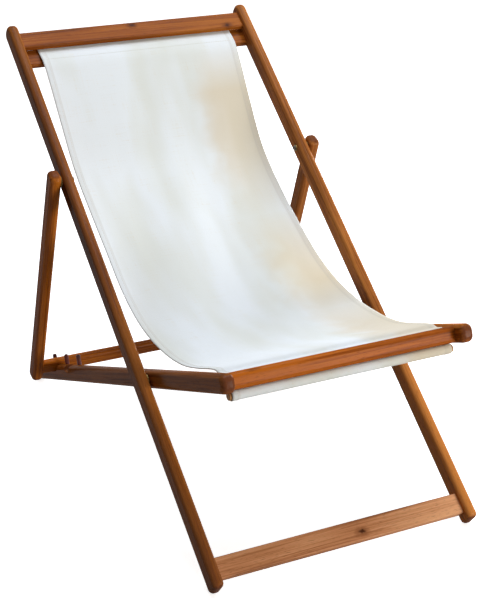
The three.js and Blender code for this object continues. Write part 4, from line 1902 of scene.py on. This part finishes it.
@dataclass
class Studio:
    """Pale floor, soft lamps and the photograph's camera."""

    camera_place: Triple = (-1.1726, -2.4048, 1.4058)
    camera_azimuth: float = -26.6
    camera_elevation: float = 22.024
    focal_pixels: float = 1457.2
    floor_colour: str = "#F4F4F4"
    floor_bounce: str = "#8C867E"
    world_colour: str = "#FFEEDC"
    world_light: float = 0.16
    near_glow: float = 0.74
    shadow_reach: float = 0.8
    floor_half: float = 8.0
    floor_height: float = -0.0005
    sensor_height: float = 36.0
    clip: Pair = (0.05, 60.0)
    lamps: tuple[Softbox, ...] = (
        Softbox("window_softbox", (2.5, 1.3, 1.0), (0.0, 0.0, 0.4), 1.1, 66.0, "#F7FAFF"),
        Softbox("top_softbox", (0.6, 0.5, 4.2), (0.0, 0.0, 0.2), 2.5, 134.0, "#F2F7FF"),
        Softbox("front_softbox", (1.6, -2.9, 0.5), (0.0, 0.0, 0.3), 1.4, 84.0, "#FFFCF6"),
    )

    def build(self) -> None:
        """Builds the floor, the lamps, the world and the camera."""
        self.build_floor()
        self.build_world()
        for lamp in self.lamps:
            lamp.build()
        self.build_camera()

    def build_floor(self) -> None:
        """Builds the pale floor. The camera and gloss see it near white, with the chair's shadow on it."""
        material, tree, shader = new_material("Matt studio floor")
        seen = self.seen_directly(tree)

        # Glow for the camera only: faint under the chair, so that its shadow stays, full further out
        away = vector_calc(tree, "LENGTH", add_node(tree, "ShaderNodeTexCoord").outputs["Object"])
        glow = remap(tree, away, self.shadow_reach, self.shadow_reach * 3, self.near_glow, 1.0)
        feed(
            tree,
            shader,
            Base_Color=tinted(tree, linear(self.floor_bounce), linear(self.floor_colour), seen),
            Roughness=0.9,
            Specular_IOR_Level=0.1,
            Emission_Color=linear("#FFFFFF"),
            Emission_Strength=calc(tree, "MULTIPLY", seen, glow),
        )
        half, height = self.floor_half, self.floor_height
        corners = [Vector((x * half, y * half, height)) for x, y in ((-1, -1), (1, -1), (1, 1), (-1, 1))]
        new_object("studio_floor", corners, [(0, 1, 2, 3)], material, smooth=False)

    @staticmethod
    def seen_directly(tree: Tree) -> Socket:
        """Marks rays from the camera, off gloss and through glass.

        Args:
            tree: Tree that takes the nodes.

        Returns:
            1 for such rays and 0 for the light that a surface scatters.
        """
        path = add_node(tree, "ShaderNodeLightPath").outputs
        glossy = calc(tree, "MAXIMUM", path["Is Camera Ray"], path["Is Glossy Ray"])
        return calc(tree, "MAXIMUM", glossy, path["Is Transmission Ray"])

    def build_world(self) -> None:
        """Builds the world: white to the camera and in gloss, softer as light."""
        world = bpy.data.worlds.new("Studio surround")
        bpy.context.scene.world = world
        world.use_nodes = True
        tree = world.node_tree
        tree.nodes.clear()
        seen = self.seen_directly(tree)
        strength = add_node(
            tree, "ShaderNodeMapRange", Value=seen, From_Min=0.0, From_Max=1.0, To_Min=self.world_light,
            To_Max=1.0,
        ).outputs["Result"]
        colour = tinted(tree, linear(self.world_colour), linear("#FFFFFF"), seen)
        surround = add_node(tree, "ShaderNodeBackground", Color=colour, Strength=strength)
        add_node(tree, "ShaderNodeOutputWorld", Surface=surround.outputs[0])

    def build_camera(self) -> None:
        """Builds the camera that sees the chair as the photograph does."""
        data = bpy.data.cameras.new("photo_camera")
        data.sensor_fit = "VERTICAL"
        data.sensor_height = self.sensor_height
        data.lens = self.focal_pixels / PHOTO_HEIGHT * self.sensor_height
        data.clip_start, data.clip_end = self.clip
        camera = bpy.data.objects.new("photo_camera", data)
        camera.location = self.camera_place
        tilt, turn = math.radians(90 - self.camera_elevation), math.radians(self.camera_azimuth)
        camera.rotation_euler = (tilt, 0.0, turn)
        bpy.context.scene.collection.objects.link(camera)
        bpy.context.scene.camera = camera


def main() -> None:
    """Builds the chair's sub-assemblies and the studio."""
    logging.basicConfig(level=logging.INFO, format="%(name)s: %(message)s")
    bpy.context.scene.view_settings.view_transform = "Standard"
    back, seat, strut = BackFrame(PLAN), SeatFrame(PLAN), StrutFrame(PLAN)
    makers: list[tuple[str, Callable[[], list[Thing]]]] = [
        ("back frame", back.build),
        ("seat frame", seat.build),
        ("strut frame", strut.build),
        ("pivot hardware", PivotHardware(PLAN).build),
        ("sling", Sling(PLAN, back, seat).build),
    ]
    for name, make in makers:
        for piece in make():
            log.info("%s: %s, %d faces", name, piece.name, len(piece.data.polygons))
    Studio().build()


if __name__ == "__main__":
    main()
